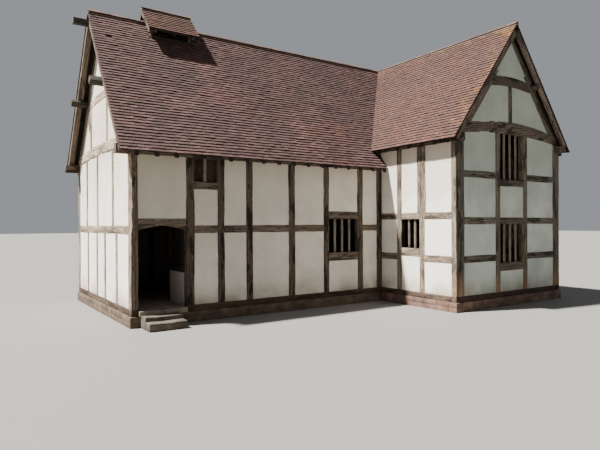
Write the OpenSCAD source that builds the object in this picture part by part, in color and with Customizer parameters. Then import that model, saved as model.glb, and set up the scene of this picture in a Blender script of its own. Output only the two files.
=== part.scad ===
// Half timbered house: a hall range with a smoke louvre on its ridge, and a two storey cross wing.
// The origin is the outer front left corner of the hall's frame, on the ground. X runs along the
// hall front, Y runs back through the house, and Z is up. All sizes are in millimetres.

/* [Plan] */
// Length of the hall range, from the left gable to the wing
hall_length = 7810; // [7000:10:9500]
// Depth of the hall range over its frame
hall_depth = 5700; // [5000:10:6400]
// Width of the cross wing over its frame
wing_width = 4980; // [4500:10:5800]
// How far the wing stands forward of the hall front
wing_reach = 2915; // [2500:5:3600]

/* [Base] */
// Height of the stone plinth above the ground
plinth_h = 260; // [150:10:600]
// Thickness of the stone plinth
plinth_w = 280; // [240:10:400]
// How far the plinth stands proud of the frame
plinth_out = 40; // [10:5:60]
// Height of the timber sill beams
sill_h = 160; // [120:5:260]
// How far the floor lies below the top of the sills
floor_drop = 30; // [5:5:100]
// Open joint left between stones or timbers that meet in one course
joint_gap = 0.5; // [0.3:0.1:0.9]

/* [Doorway] */
// Clear width of the doorway
door_w = 1190; // [900:10:1300]
// Height of the door head's springing above the sills
door_spring = 1848; // [1750:2:1900]
// Rise of the arched door head
door_rise = 122; // [40:2:150]
// Shape of its haunches: 1 is an arch with level, round shoulders, and 0.5 has straight slopes
door_haunch = [0.18, 0.45]; // [0.1:0.01:0.9]
// Height of the top of the door head above the sills
door_head_top = 2130; // [2080:10:2300]
// How far the stone threshold stands out of the wall
threshold_out = 90; // [45:5:150]
// Width of the doorsteps
step_w = 900; // [700:10:1000]
// Rise of each of the two upper steps
step_rise = 100; // [80:5:130]
// Tread of each step
step_tread = 305; // [250:5:400]

/* [Frame] */
// Thickness of the wall timbers, outside to inside
frame_t = 165; // [150:5:190]
// Width of the wall plates
plate_w = 200; // [195:5:240]
// Height of the wall plates
plate_h = 220; // [150:5:260]
// Thickness of the plaster panels
panel_t = 110; // [60:5:120]
// How far the panels lie behind the face of the timbers
panel_in = 12; // [4:1:25]
// Height of the common rails
rail_h = 190; // [140:5:220]
// Width of the studs
stud_w = 190; // [140:5:220]
// Width of the main posts
post_w = 210; // [190:5:240]
// Width of the wing's jowled gable posts on the gable face
jowl_post_w = 340; // [280:5:380]
// How far the upper stud beside each side window spreads towards the front and the window
side_spread = [42, 88]; // [10:2:110]
// Width of the hall's corner posts on the gable face
hall_corner_w = 240; // [225:5:300]

/* [Heights above the sills] */
// Top of the hall's wall plates
hall_wall_h = 3860; // [3600:10:4100]
// Top of the wing's wall plates
wing_wall_h = 4425; // [4250:5:4600]
// Underside of the hall's middle rail
hall_rail_z = 1770; // [1700:5:1800]
// Underside of the middle rail on the wing's side walls
side_rail_z = 2112; // [2080:2:2150]
// Underside of the middle rail on the wing's gables
gable_rail_z = 1960; // [1900:5:1965]
// Underside of the low rails
low_rail_z = 898; // [850:2:940]
// Underside of the high rails on the wing's gables
high_rail_z = 3250; // [3200:5:3300]

/* [Windows] */
// Clear width of the hall window
hall_window_w = 1091; // [900:1:1200]
// Sill and head of the hall window above the sill beams
hall_window_z = [1135, 2130]; // [1100:5:2200]
// Sill of the small upper window beside the door
upper_window_z = 3050; // [3000:2:3200]
// Clear width of the wing's gable windows
gable_window_w = 1109; // [900:1:1200]
// Sill and head of the wing's lower gable window
lower_window_z = [836, 1960]; // [800:5:2000]
// Clear width and sill height of the side windows
side_window = [715, 1264]; // [600:1:1300]
// Height of the hall window's head rail
window_head_h = 220; // [150:5:240]
// Thickness of the boards behind the small upper window, their lap below and beside its light
shutter = [25, 60, 60]; // [15:1:90]
// Height of the window sill rails
window_sill_h = 235; // [180:5:260]
// Side of the square mullions, which are set cornerwise
mullion = 62; // [45:1:70]

/* [Roof] */
// Height of the tiled slopes at the ridge above the ground
ridge_h = 8260; // [7900:10:8500]
// Overhang of the eaves
eave_out = 312; // [250:2:340]
// Overhang of the hall's left verge
hall_verge = 312; // [250:2:340]
// Overhang of the wing's verges
wing_verge = 195; // [150:5:300]
// Thickness of the tiles and laths
cover_t = 55; // [45:1:65]
// Depth of the common rafters
rafter_d = 95; // [80:5:110]
// Width of the common rafters
rafter_w = 110; // [90:5:130]
// Spacing of the common rafters
rafter_step = 480; // [440:5:560]
// Depth of the principal rafters below and above the purlins
principal_d = [280, 190]; // [175:5:300]
// Depth of the barge rafters, and their width at the hall's verge and at the wing's
barge = [150, 150, 75]; // [50:5:160]
// How far the barge rafters run out past the wall plates
barge_foot = 90; // [40:5:200]
// How far the barge rafters stay inside the verge
barge_in = 20; // [5:1:30]
// How far the common rafters' feet stay inside the eaves
rafter_in = 95; // [60:5:120]
// Distance from the crossing of the ridges to the last of the hall's and of the wing's rafters
crossing_clear = [400, 300]; // [250:10:500]
// Side of the square purlins
purlin = 170; // [140:5:175]
// Distance on plan from the ridge to the middle of the hall's and the wing's purlins
purlin_reach = [1500, 1120]; // [1000:10:1600]
// How far the front and rear wall plates stand out of the left gable
plate_out = [330, 400]; // [290:10:450]
// How far the ridge beam and purlins stand out of the left gable
beam_out = [690, 590, 470]; // [420:10:750]
// Width and height of the ridge beams
ridge_beam = [150, 160]; // [120:5:210]
// Drop of the ridge beams' top edges below the laths, under the meeting rafters
ridge_drop = 90; // [50:5:110]
// Width and depth of the valley rafters
valley_beam = [150, 270]; // [120:5:290]
// Thickness of the ridge tiles and their bed
ridge_tile_t = 40; // [25:1:50]
// Reach of the ridge tiles on each side of the ridge, on plan
ridge_tile_reach = 110; // [90:5:170]
// Half the width of the ridge tiles' blunt crown
ridge_crown = 20; // [10:1:30]

/* [Gable trusses] */
// Depth at the ends, depth in the middle and camber of the hall's tie beams
hall_tie = [255, 275, 75]; // [50:5:320]
// Depth at the ends, depth in the middle and camber of the wing's tie beams
wing_tie = [240, 345, 170]; // [100:5:380]
// Depth at the ends, depth in the middle and camber of the hall's collars
hall_collar = [190, 200, 130]; // [60:5:240]
// Depth at the ends, depth in the middle and camber of the wing's collars
wing_collar = [200, 290, 120]; // [60:5:320]
// Height of the hall's and the wing's collars above the wall plates, at their ends
collar_z = [1430, 1440]; // [1350:5:1500]
// Distance of the two hall gable struts from the ridge line
gable_struts = [-715, 1080]; // [-1000:5:1200]
// Distance of the wing's king strut from the ridge line
king_strut = -65; // [-150:5:150]
// Width of the gable struts
strut_w = 170; // [120:5:200]

/* [Smoke louvre] */
// Distance from the left gable to the louvre's frame
louvre_x = 1310; // [900:10:1800]
// Length of the louvre's frame
louvre_length = 1190; // [900:10:1400]
// Half the width of the louvre's frame
louvre_half = 430; // [400:5:480]
// Height of the louvre's ridge above the hall's
louvre_rise = 410; // [380:5:480]
// Half the width of the louvre's roof at its eaves
louvre_eave = 716; // [650:2:760]
// Drop of the louvre's roof from its ridge to its eaves
louvre_drop = 760; // [700:5:800]
// Overhang of the louvre's roof at its verges
louvre_verge = 150; // [100:5:200]
// Side of the louvre's posts, plates and curbs
louvre_post = 90; // [70:5:100]
// Thickness of the louvre's tiles
louvre_cover = 45; // [35:1:50]
// Depth of the louvre's rafters
louvre_rafter = 70; // [60:5:80]
// How far the curbs stand above the tiles
curb_up = 80; // [60:5:110]
// Width and depth of the louvre's barge rafters
louvre_barge = [25, 95]; // [20:1:110]
// Reach and thickness of the louvre's ridge tiles
louvre_ridge = [110, 28]; // [20:1:130]

/* [Inside] */
// Thickness of the wing's upper floor boards
board_t = 28; // [20:1:40]
// Depth and width of the floor joists
joist = [120, 110]; // [90:5:130]
// Spacing of the floor joists
joist_step = 520; // [420:10:600]
// Depth and width of the floor beams
floor_beam = [230, 210]; // [160:5:280]
// Length of the passage screen beside the door
screen_length = 1020; // [800:10:1200]
// Height of the passage screen's rail above the sills
screen_rail_z = 790; // [700:5:850]
// Thickness of the passage screen's timbers
screen_t = 120; // [80:5:150]
// Height of the passage screen's rail and width of its post
screen_rail = [170, 160]; // [120:5:200]
// How far the passage screen's plaster lies behind its timbers
screen_in = 10; // [5:1:20]
// Thickness of the boards above the passage screen's rail
screen_board_t = 30; // [20:1:40]

/* [Hidden] */
oak = "#6e6257";
dark_oak = "#4a4038";
plaster = "#ddd6c6";
stone = "#8c7a6b";
tile = "#8a5a4c";

far = 20000;
sill_top = plinth_h + sill_h;
floor_z = sill_top - floor_drop;
hall_plate_top = sill_top + hall_wall_h;
wing_plate_top = sill_top + wing_wall_h;
hall_mid = hall_depth / 2;
wing_mid = wing_width / 2;
wing_depth = wing_reach + hall_depth;
ridge_x = hall_length + wing_mid;
build_up = cover_t + rafter_d;

// Pitch of a slope that rises from the outer edge of a wall plate and carries the roof's build-up
function pitch(rise, half_span) =
    acos(build_up / norm([rise, half_span])) - atan2(half_span, rise);
hall_pitch = pitch(ridge_h - hall_plate_top, hall_mid);
wing_pitch = pitch(ridge_h - wing_plate_top, wing_mid);
// Height of a plane that lies a distance down below the tiled slope, at a distance out from the ridge
function slope_z(slope, out, down) = ridge_h - tan(slope) * out - down / cos(slope);

// Where the two roofs meet on plan: the valley runs back this much for each unit along the front
valley_run = tan(wing_pitch) / tan(hall_pitch);
wing_eave_x = hall_length - eave_out;
valley_foot_y = hall_mid - valley_run * (ridge_x - wing_eave_x);
valley_angle = atan(valley_run);
// The hall's eaves run on under the wing's eaves as far as this
tuck_y = 40;
cover_gap = 3;

// Running sums that set out a row of members and gaps
function total(v, n = 0) = n >= len(v) ? 0 : v[n] + total(v, n + 1);
function start(v, n) = n <= 0 ? 0 : v[n - 1] + start(v, n - 1);

// Hall front: the plain panels share what the posts, the door and the window leave
end_post_w = 198;
front_studs = [post_w, stud_w, stud_w, post_w, stud_w, post_w];
front_shares = [640, 632, 1130, 1000, 560];
front_spare = hall_length - frame_t - door_w - total(front_studs) - hall_window_w - end_post_w;
front_share = [for (s = front_shares) front_spare * s / total(front_shares)];
front_row = [
    frame_t, door_w, front_studs[0], front_share[0], front_studs[1], front_share[1],
    front_studs[2], front_share[2], front_studs[3], front_share[3], front_studs[4],
    hall_window_w, front_studs[5], front_share[4], end_post_w
];
door_x = start(front_row, 1);
door_post_x = start(front_row, 2);
mid_post_x = start(front_row, 8);
hall_window_x = start(front_row, 11);
end_post_x = start(front_row, 14);
upper_window_x = door_post_x + post_w;
upper_window_w = front_share[0];

// Wing gable: the side panels share what the posts and the window leave
gable_side = (wing_width - 2 * jowl_post_w - 2 * post_w - gable_window_w) / 2;
gable_row = [jowl_post_w, gable_side, post_w, gable_window_w, post_w, gable_side, jowl_post_w];
gable_window_x = start(gable_row, 3);

// Wing side bay: panel, stud, window, stud, panel, between the corner posts
side_clear = wing_reach - frame_t;
side_share = side_clear - 2 * stud_w - side_window[0];
side_row = [side_share * 0.585, stud_w, side_window[0], stud_w, side_share * 0.415];

// Left gable: studs above and below the middle rail
gable_upper = [1549, 3098, 4365];
gable_lower = [1223, 2332, 3194, 4250];
gable_stud_w = 160;
gable_scale = hall_depth / 5560;

// Camber of a beam: parabolic, level at its ends
function camber(u, span, rise) = rise * (1 - pow(2 * u / span - 1, 2));

hall_truss_x = [0, door_post_x + (post_w - frame_t) / 2, mid_post_x + (post_w - frame_t) / 2];
wing_truss_y = [-wing_reach, 0, hall_mid - frame_t / 2, hall_depth - frame_t];

// Outer face turned towards -Y, with the drawing's second axis upright
module wall(thick, from = 0) {
    translate([0, from + thick, 0]) rotate([90, 0, 0]) linear_extrude(thick) children();
}
// Turns a front wall into one that faces -X and runs along Y
module facing_left() { rotate([0, 0, 90]) mirror([0, 1, 0]) children(); }
module facing_back() { translate([0, hall_depth, 0]) mirror([0, 1, 0]) children(); }
module mirror_wing() { translate([2 * ridge_x, 0, 0]) mirror([1, 0, 0]) children(); }
module at_wing_front() { translate([hall_length, -wing_reach, 0]) children(); }
module at_wing_rear() { facing_back() translate([hall_length, 0, 0]) children(); }
module at_wing_left() { translate([hall_length, 0, 0]) facing_left() children(); }
module box_2d(u0, u1, z0, z1) { translate([u0, z0]) square([u1 - u0, z1 - z0]); }

// Beam with a parabolic camber
module cambered_2d(u0, u1, seat, size) {
    span = u1 - u0;
    n = 10;
    polygon(concat(
        [for (i = [0:n]) [u0 + span * i / n, seat + camber(span * i / n, span, size[2])]],
        [for (i = [n:-1:0]) [u0 + span * i / n, seat + camber(span * i / n, span, size[2])
            + size[0] + camber(span * i / n, span, size[1] - size[0])]]
    ));
}
// Everything under a tie beam, up to half its depth
module under_tie_2d(t) {
    half = t[2] + t[3][0] / 2;
    cambered_2d(-1, 2 * t[1] + 1, 0, [half, half, t[3][2]]);
}
// Everything under a pair of slopes, down to a level
module under_roof_2d(slope, mid, down, floor = 0) {
    top = slope_z(slope, 0, down);
    run = (top - floor) / tan(slope);
    polygon([[mid - run, floor], [mid + run, floor], [mid, top]]);
}
// One purlin, square to its slope
module purlin_2d(slope, mid, reach, side) {
    z = slope_z(slope, reach, build_up);
    translate([mid + side * reach, z]) rotate(-side * slope)
        translate([-purlin / 2, -purlin]) square(purlin);
}
module purlins_2d(slope, mid, reach) {
    for (side = [-1, 1]) purlin_2d(slope, mid, reach, side);
}
// The notch in a valley rafter that lies over a purlin, open below
module purlin_notches_2d(slope, mid, reach, depth) {
    for (side = [-1, 1])
        translate([mid + side * reach, slope_z(slope, reach, build_up)]) rotate(-side * slope)
            translate([-purlin / 2, -purlin - depth]) square([purlin, purlin + depth]);
}
function ridge_beam_top(slope) = slope_z(slope, ridge_beam[0] / 2, cover_t) - ridge_drop;
module ridge_beam_2d(slope, mid, up = 0) {
    top = ridge_beam_top(slope);
    box_2d(mid - ridge_beam[0] / 2, mid + ridge_beam[0] / 2, top - ridge_beam[1], top + up);
}
// Band of rafter between two depths below the tiles, on the left of the ridge
module band_2d(slope, mid, out, down, depth) {
    in = ridge_beam[0] / 2;
    foot = mid + out;
    polygon([
        [-out, slope_z(slope, foot, down)], [mid - in, slope_z(slope, in, down)],
        [mid - in, slope_z(slope, in, down + depth)],
        [-out, slope_z(slope, foot, down + depth)]
    ]);
}

// Truss parts in their own plane: slope, half span, plate top, tie, collar and its height, purlin
hall_truss = [hall_pitch, hall_mid, hall_plate_top, hall_tie, hall_collar, collar_z[0],
    purlin_reach[0]];
wing_truss = [wing_pitch, wing_mid, wing_plate_top, wing_tie, wing_collar, collar_z[1],
    purlin_reach[1]];
module tie_2d(t) {
    intersection() {
        cambered_2d(0, 2 * t[1], t[2], t[3]);
        under_roof_2d(t[0], t[1], build_up);
    }
}
module principals_2d(t) {
    step_z = slope_z(t[0], t[6] - purlin, build_up);
    difference() {
        under_roof_2d(t[0], t[1], build_up, t[2]);
        intersection() {
            under_roof_2d(t[0], t[1], build_up + principal_d[0]);
            box_2d(-far, far, 0, step_z);
        }
        intersection() {
            under_roof_2d(t[0], t[1], build_up + principal_d[1]);
            box_2d(-far, far, step_z - joint_gap, far);
        }
        cambered_2d(0, 2 * t[1], t[2], t[3]);
        under_tie_2d(t);
        box_2d(t[1] - joint_gap, t[1] + joint_gap, 0, far);
        purlins_2d(t[0], t[1], t[6]);
        ridge_beam_2d(t[0], t[1], far);
    }
}
module collar_2d(t) {
    run = 2 * t[1] - 2 * (t[5] / tan(t[0]));
    intersection() {
        cambered_2d(t[1] - run / 2, t[1] + run / 2, t[2] + t[5], t[4]);
        under_roof_2d(t[0], t[1], build_up + principal_d[0]);
    }
}
module gable_panels_2d(t) {
    difference() {
        intersection() {
            under_roof_2d(t[0], t[1], build_up + principal_d[1] / 2, t[2]);
            box_2d(0, 2 * t[1], 0, ridge_beam_top(t[0]) - ridge_beam[1]);
        }
        under_tie_2d(t);
        principals_2d(t);
        purlins_2d(t[0], t[1], t[6]);
        tie_2d(t);
        collar_2d(t);
        children();
    }
}

// Hall front and the hall's part of the rear wall
module hall_posts_2d() {
    n = len(front_row);
    for (i = [2:2:n - 1])
        box_2d(start(front_row, i), start(front_row, i + 1), sill_top, hall_plate_top - plate_h);
}
module hall_middle_rail_2d(from) {
    difference() {
        box_2d(from, hall_length, sill_top + hall_rail_z, sill_top + hall_rail_z + rail_h);
        box_2d(hall_window_x, hall_window_x + hall_window_w, 0, far);
    }
}
module hall_window_rails_2d() {
    x1 = hall_window_x + hall_window_w;
    box_2d(hall_window_x, x1, sill_top + hall_window_z[0] - window_sill_h,
        sill_top + hall_window_z[0]);
    box_2d(hall_window_x, x1, sill_top + hall_window_z[1], sill_top + hall_window_z[1] + window_head_h);
}
module hall_window_light_2d() {
    box_2d(hall_window_x, hall_window_x + hall_window_w, sill_top + hall_window_z[0],
        sill_top + hall_window_z[1]);
}
module front_rails_2d() {
    difference() {
        union() {
            hall_middle_rail_2d(door_post_x);
            hall_window_rails_2d();
            box_2d(upper_window_x, upper_window_x + upper_window_w,
                sill_top + upper_window_z - rail_h, sill_top + upper_window_z);
        }
        hall_posts_2d();
    }
}
module front_openings_2d() {
    box_2d(door_x, door_post_x, 0, sill_top + door_head_top);
    hall_window_light_2d();
    // The light runs into the posts beside it, which are cut off the panels too
    box_2d(upper_window_x - stud_w / 2, upper_window_x + upper_window_w + stud_w / 2,
        sill_top + upper_window_z, hall_plate_top - plate_h);
}
module hall_front_posts() { color(oak) wall(frame_t) hall_posts_2d(); }
module hall_front_rails() { color(oak) wall(frame_t) front_rails_2d(); }
module hall_front_panels() {
    color(plaster) wall(panel_t, panel_in) difference() {
        box_2d(frame_t, end_post_x, sill_top, hall_plate_top - plate_h);
        hall_posts_2d();
        front_rails_2d();
        front_openings_2d();
    }
}
module door_head() {
    module half_arch_2d() {
        half = door_w / 2;
        haunch = [door_haunch[0] * half, door_haunch[1] * door_rise];
        n = 8;
        polygon(concat([[half, -1], [-1, -1]], [
            for (i = [0:n]) let (t = i / n)
                [2 * t * (1 - t) * haunch[0] + t * t * half,
                    2 * t * (1 - t) * haunch[1] + t * t * door_rise]
        ]));
    }
    color(oak) wall(frame_t) difference() {
        box_2d(door_x, door_post_x, sill_top + door_spring, sill_top + door_head_top);
        translate([door_x, sill_top + door_spring]) half_arch_2d();
        translate([door_post_x, sill_top + door_spring]) mirror([1, 0]) half_arch_2d();
    }
}

// Left gable of the hall
module gable_studs_2d(places, z0, z1) {
    for (y = places)
        box_2d(y * gable_scale - gable_stud_w / 2, y * gable_scale + gable_stud_w / 2, z0, z1);
}
module hall_corner_posts_2d() {
    difference() {
        union() {
            box_2d(0, hall_corner_w, sill_top, hall_plate_top + camber(hall_corner_w, hall_depth,
                hall_tie[2]));
            box_2d(hall_depth - hall_corner_w, hall_depth, sill_top, hall_plate_top
                + camber(hall_corner_w, hall_depth, hall_tie[2]));
        }
        tie_2d(hall_truss);
        box_2d(0, plate_w, hall_plate_top - plate_h, far);
        box_2d(hall_depth - plate_w, hall_depth, hall_plate_top - plate_h, far);
    }
}
module hall_gable_studs_2d() {
    rail = sill_top + hall_rail_z;
    difference() {
        union() {
            gable_studs_2d(gable_upper, rail + rail_h, hall_plate_top + hall_tie[2]);
            gable_studs_2d(gable_lower, sill_top, rail);
        }
        tie_2d(hall_truss);
    }
}
module hall_struts_2d() {
    difference() {
        for (x = gable_struts)
            box_2d(hall_mid + x - strut_w / 2, hall_mid + x + strut_w / 2, hall_plate_top,
                hall_plate_top + collar_z[0] + hall_collar[2]);
        under_tie_2d(hall_truss);
        tie_2d(hall_truss);
        collar_2d(hall_truss);
        principals_2d(hall_truss);
    }
}
module hall_gable_rail_2d() {
    box_2d(hall_corner_w, hall_depth - hall_corner_w, sill_top + hall_rail_z,
        sill_top + hall_rail_z + rail_h);
}
module hall_gable_posts() {
    color(oak) facing_left() wall(frame_t) {
        hall_corner_posts_2d();
        hall_gable_studs_2d();
        hall_struts_2d();
    }
}
module hall_gable_rails() { color(oak) facing_left() wall(frame_t) hall_gable_rail_2d(); }
module hall_gable_panels() {
    color(plaster) facing_left() wall(panel_t, panel_in) {
        difference() {
            box_2d(hall_corner_w, hall_depth - hall_corner_w, sill_top,
                hall_plate_top + hall_tie[2]);
            tie_2d(hall_truss);
            hall_gable_studs_2d();
            hall_gable_rail_2d();
            hall_corner_posts_2d();
        }
        gable_panels_2d(hall_truss) hall_struts_2d();
    }
}

// Gables of the wing
module wing_corner_posts_2d() {
    top = wing_plate_top + camber(jowl_post_w, wing_width, wing_tie[2]);
    difference() {
        union() {
            box_2d(0, jowl_post_w, sill_top, top);
            box_2d(wing_width - jowl_post_w, wing_width, sill_top, top);
        }
        tie_2d(wing_truss);
        box_2d(0, plate_w, wing_plate_top - plate_h, far);
        box_2d(wing_width - plate_w, wing_width, wing_plate_top - plate_h, far);
    }
}
module wing_gable_studs_2d() {
    difference() {
        for (i = [2, 4])
            box_2d(start(gable_row, i), start(gable_row, i + 1), sill_top,
                wing_plate_top + wing_tie[2]);
        tie_2d(wing_truss);
    }
}
module wing_strut_2d() {
    x = wing_mid + king_strut;
    difference() {
        box_2d(x - strut_w / 2, x + strut_w / 2, wing_plate_top,
            wing_plate_top + collar_z[1] + wing_collar[2]);
        under_tie_2d(wing_truss);
        tie_2d(wing_truss);
        collar_2d(wing_truss);
    }
}
module wing_gable_rails_2d(lower_light = true) {
    left = [jowl_post_w, start(gable_row, 2)];
    right = [start(gable_row, 5), wing_width - jowl_post_w];
    window = [gable_window_x, gable_window_x + gable_window_w];
    for (bay = [left, window, right])
        box_2d(bay[0], bay[1], sill_top + gable_rail_z, sill_top + gable_rail_z + rail_h);
    for (bay = [left, right]) {
        box_2d(bay[0], bay[1], sill_top + low_rail_z, sill_top + low_rail_z + rail_h);
        box_2d(bay[0], bay[1], sill_top + high_rail_z, sill_top + high_rail_z + rail_h);
    }
    if (lower_light)
        box_2d(window[0], window[1], sill_top + lower_window_z[0] - window_sill_h,
            sill_top + lower_window_z[0]);
    else
        box_2d(window[0], window[1], sill_top + low_rail_z, sill_top + low_rail_z + rail_h);
    box_2d(window[0], window[1], sill_top + high_rail_z - rail_h, sill_top + high_rail_z);
}
module wing_gable_openings_2d(lower_light = true) {
    if (lower_light)
        box_2d(gable_window_x, gable_window_x + gable_window_w, sill_top + lower_window_z[0],
            sill_top + lower_window_z[1]);
    box_2d(gable_window_x, gable_window_x + gable_window_w, sill_top + high_rail_z,
        wing_plate_top + wing_tie[2]);
}
module wing_gable_posts() {
    wall(frame_t) {
        wing_corner_posts_2d();
        wing_gable_studs_2d();
        wing_strut_2d();
    }
}
module wing_gable_panels(lower_light = true) {
    wall(panel_t, panel_in) {
        difference() {
            box_2d(jowl_post_w, wing_width - jowl_post_w, sill_top,
                wing_plate_top + wing_tie[2]);
            tie_2d(wing_truss);
            wing_gable_studs_2d();
            wing_gable_rails_2d(lower_light);
            wing_gable_openings_2d(lower_light);
            wing_corner_posts_2d();
        }
        gable_panels_2d(wing_truss) wing_strut_2d();
    }
}
module wing_front_posts() { color(oak) at_wing_front() wing_gable_posts(); }
module wing_front_rails() { color(oak) at_wing_front() wall(frame_t) wing_gable_rails_2d(); }
module wing_front_panels() { color(plaster) at_wing_front() wing_gable_panels(); }

// Rear wall: the hall's part repeats the front without its door, the wing's repeats its gable
// without the lower window, because no daylight shows through the windows in front of it
module rear_hall_posts_2d() {
    difference() {
        hall_posts_2d();
        box_2d(-far, hall_corner_w, 0, far);
    }
}
module rear_hall_rails_2d() {
    difference() {
        union() {
            hall_middle_rail_2d(frame_t);
            hall_window_rails_2d();
        }
        rear_hall_posts_2d();
    }
}
module rear_posts() {
    color(oak) facing_back() wall(frame_t) rear_hall_posts_2d();
    color(oak) at_wing_rear() wing_gable_posts();
}
module rear_rails() {
    color(oak) facing_back() wall(frame_t) rear_hall_rails_2d();
    color(oak) at_wing_rear() wall(frame_t) wing_gable_rails_2d(lower_light = false);
}
module rear_panels() {
    color(plaster) facing_back() wall(panel_t, panel_in) difference() {
        box_2d(frame_t, end_post_x, sill_top, hall_plate_top - plate_h);
        rear_hall_posts_2d();
        rear_hall_rails_2d();
        hall_window_light_2d();
    }
    color(plaster) at_wing_rear() wing_gable_panels(lower_light = false);
}

// Long walls of the wing, drawn along Y. The left one stops at the hall front.
// The right one has three plain bays between the posts under the wing's trusses.
wing_top = wing_plate_top - plate_h;
module side_bay_posts_2d(y0) {
    for (i = [1, 3])
        box_2d(y0 + start(side_row, i), y0 + start(side_row, i + 1), sill_top, wing_top);
    box_2d(y0 + side_row[0] - side_spread[0], y0 + start(side_row, 2) + side_spread[1],
        sill_top + side_rail_z + rail_h, wing_top);
}
module side_bay_rails_2d(y0) {
    y1 = y0 + side_clear;
    w0 = y0 + start(side_row, 2);
    w1 = w0 + side_window[0];
    difference() {
        union() {
            box_2d(y0, y1, sill_top + side_rail_z, sill_top + side_rail_z + rail_h);
            box_2d(y0, w0, sill_top + low_rail_z, sill_top + low_rail_z + rail_h);
            box_2d(w1, y1, sill_top + low_rail_z, sill_top + low_rail_z + rail_h);
            box_2d(w0, w1, sill_top + side_window[1] - window_sill_h,
                sill_top + side_window[1]);
        }
        side_bay_posts_2d(y0);
    }
}
module side_bay_light_2d(y0) {
    w0 = y0 + start(side_row, 2);
    box_2d(w0 - stud_w / 2, w0 + side_window[0] + stud_w / 2, sill_top + side_window[1],
        sill_top + side_rail_z);
}
left_bay_y = frame_t - wing_reach;
module left_wall() { at_wing_left() wall(frame_t) children(); }
module right_wall() { mirror_wing() left_wall() children(); }
right_posts = [0, wing_truss_y[2]];
plain_bays = [
    [left_bay_y, 0],
    [frame_t, wing_truss_y[2]],
    [wing_truss_y[2] + frame_t, wing_truss_y[3]]
];
module plain_bay_posts_2d() {
    for (bay = plain_bays) {
        clear = bay[1] - bay[0] - 2 * stud_w;
        for (i = [1, 2])
            box_2d(bay[0] + clear * i / 3 + stud_w * (i - 1), bay[0] + clear * i / 3 + stud_w * i,
                sill_top, wing_top);
    }
}
module plain_bay_rails_2d() {
    difference() {
        for (bay = plain_bays) {
            box_2d(bay[0], bay[1], sill_top + side_rail_z, sill_top + side_rail_z + rail_h);
            box_2d(bay[0], bay[1], sill_top + low_rail_z, sill_top + low_rail_z + rail_h);
        }
        plain_bay_posts_2d();
    }
}
module right_truss_posts_2d() {
    for (y = right_posts) box_2d(y, y + frame_t, sill_top, wing_top);
}
module wing_side_posts() {
    color(oak) left_wall() {
        side_bay_posts_2d(left_bay_y);
        box_2d(0, frame_t, sill_top, wing_top);
    }
    color(oak) right_wall() {
        plain_bay_posts_2d();
        right_truss_posts_2d();
    }
}
module wing_side_rails() {
    color(oak) left_wall() side_bay_rails_2d(left_bay_y);
    color(oak) right_wall() plain_bay_rails_2d();
}
module wing_side_panels() {
    color(plaster) at_wing_left() wall(panel_t, panel_in) difference() {
        box_2d(left_bay_y, 0, sill_top, wing_top);
        side_bay_posts_2d(left_bay_y);
        side_bay_rails_2d(left_bay_y);
        side_bay_light_2d(left_bay_y);
    }
    color(plaster) mirror_wing() at_wing_left() wall(panel_t, panel_in) difference() {
        box_2d(left_bay_y, wing_truss_y[3], sill_top, wing_top);
        right_truss_posts_2d();
        plain_bay_posts_2d();
        plain_bay_rails_2d();
    }
}

// Posts of the open frame between hall and wing, and inside the hall at the screen
module inner_posts() {
    color(oak) left_wall()
        box_2d(wing_truss_y[2], wing_truss_y[2] + frame_t, floor_z, wing_top);
    color(oak) left_wall()
        box_2d(hall_depth - 2 * frame_t, hall_depth - frame_t - joint_gap, floor_z, wing_top);
}

// Stone and timber that carry the frame
module run_x(x0, x1, y0, y1, z0, z1) { translate([x0, y0, z0]) cube([x1 - x0, y1 - y0, z1 - z0]); }
module plinth() {
    g = joint_gap;
    o = plinth_out;
    i = plinth_w - plinth_out;
    right = hall_length + wing_width;
    color(stone) {
        run_x(-o, hall_length - o - g, -o, i, 0, plinth_h);
        run_x(hall_length - o, right + o, -wing_reach - o, -wing_reach + i, 0, plinth_h);
        run_x(-o, right + o, hall_depth - i, hall_depth + o, 0, plinth_h);
        run_x(-o, i, i + g, hall_depth - i - g, 0, plinth_h);
        run_x(hall_length - o, hall_length + i, -wing_reach + i + g, i, 0, plinth_h);
        run_x(right - i, right + o, -wing_reach + i + g, hall_depth - i - g, 0, plinth_h);
    }
}
module sill_beams() {
    g = joint_gap;
    t = frame_t;
    right = hall_length + wing_width;
    color(dark_oak) {
        run_x(0, t, 0, hall_depth, plinth_h, sill_top);
        run_x(door_post_x, hall_length - g, 0, t, plinth_h, sill_top);
        run_x(t + g, right, hall_depth - t, hall_depth, plinth_h, sill_top);
        run_x(hall_length, right, -wing_reach, -wing_reach + t, plinth_h, sill_top);
        run_x(hall_length, hall_length + t, -wing_reach + t + g, t, plinth_h, sill_top);
        run_x(right - t, right, -wing_reach + t + g, hall_depth - t - g, plinth_h, sill_top);
    }
}
module ground_floor() {
    i = plinth_w - plinth_out;
    g = joint_gap;
    right = hall_length + wing_width;
    color(stone) {
        run_x(i + g, hall_length + i, i + g, hall_depth - i - g, 0, floor_z);
        run_x(hall_length + i + g, right - i - g, -wing_reach + i + g, hall_depth - i - g, 0,
            floor_z);
    }
}
module threshold() {
    color(stone)
        run_x(door_x, door_post_x, -threshold_out, plinth_w - plinth_out, plinth_h, floor_z);
}
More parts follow.
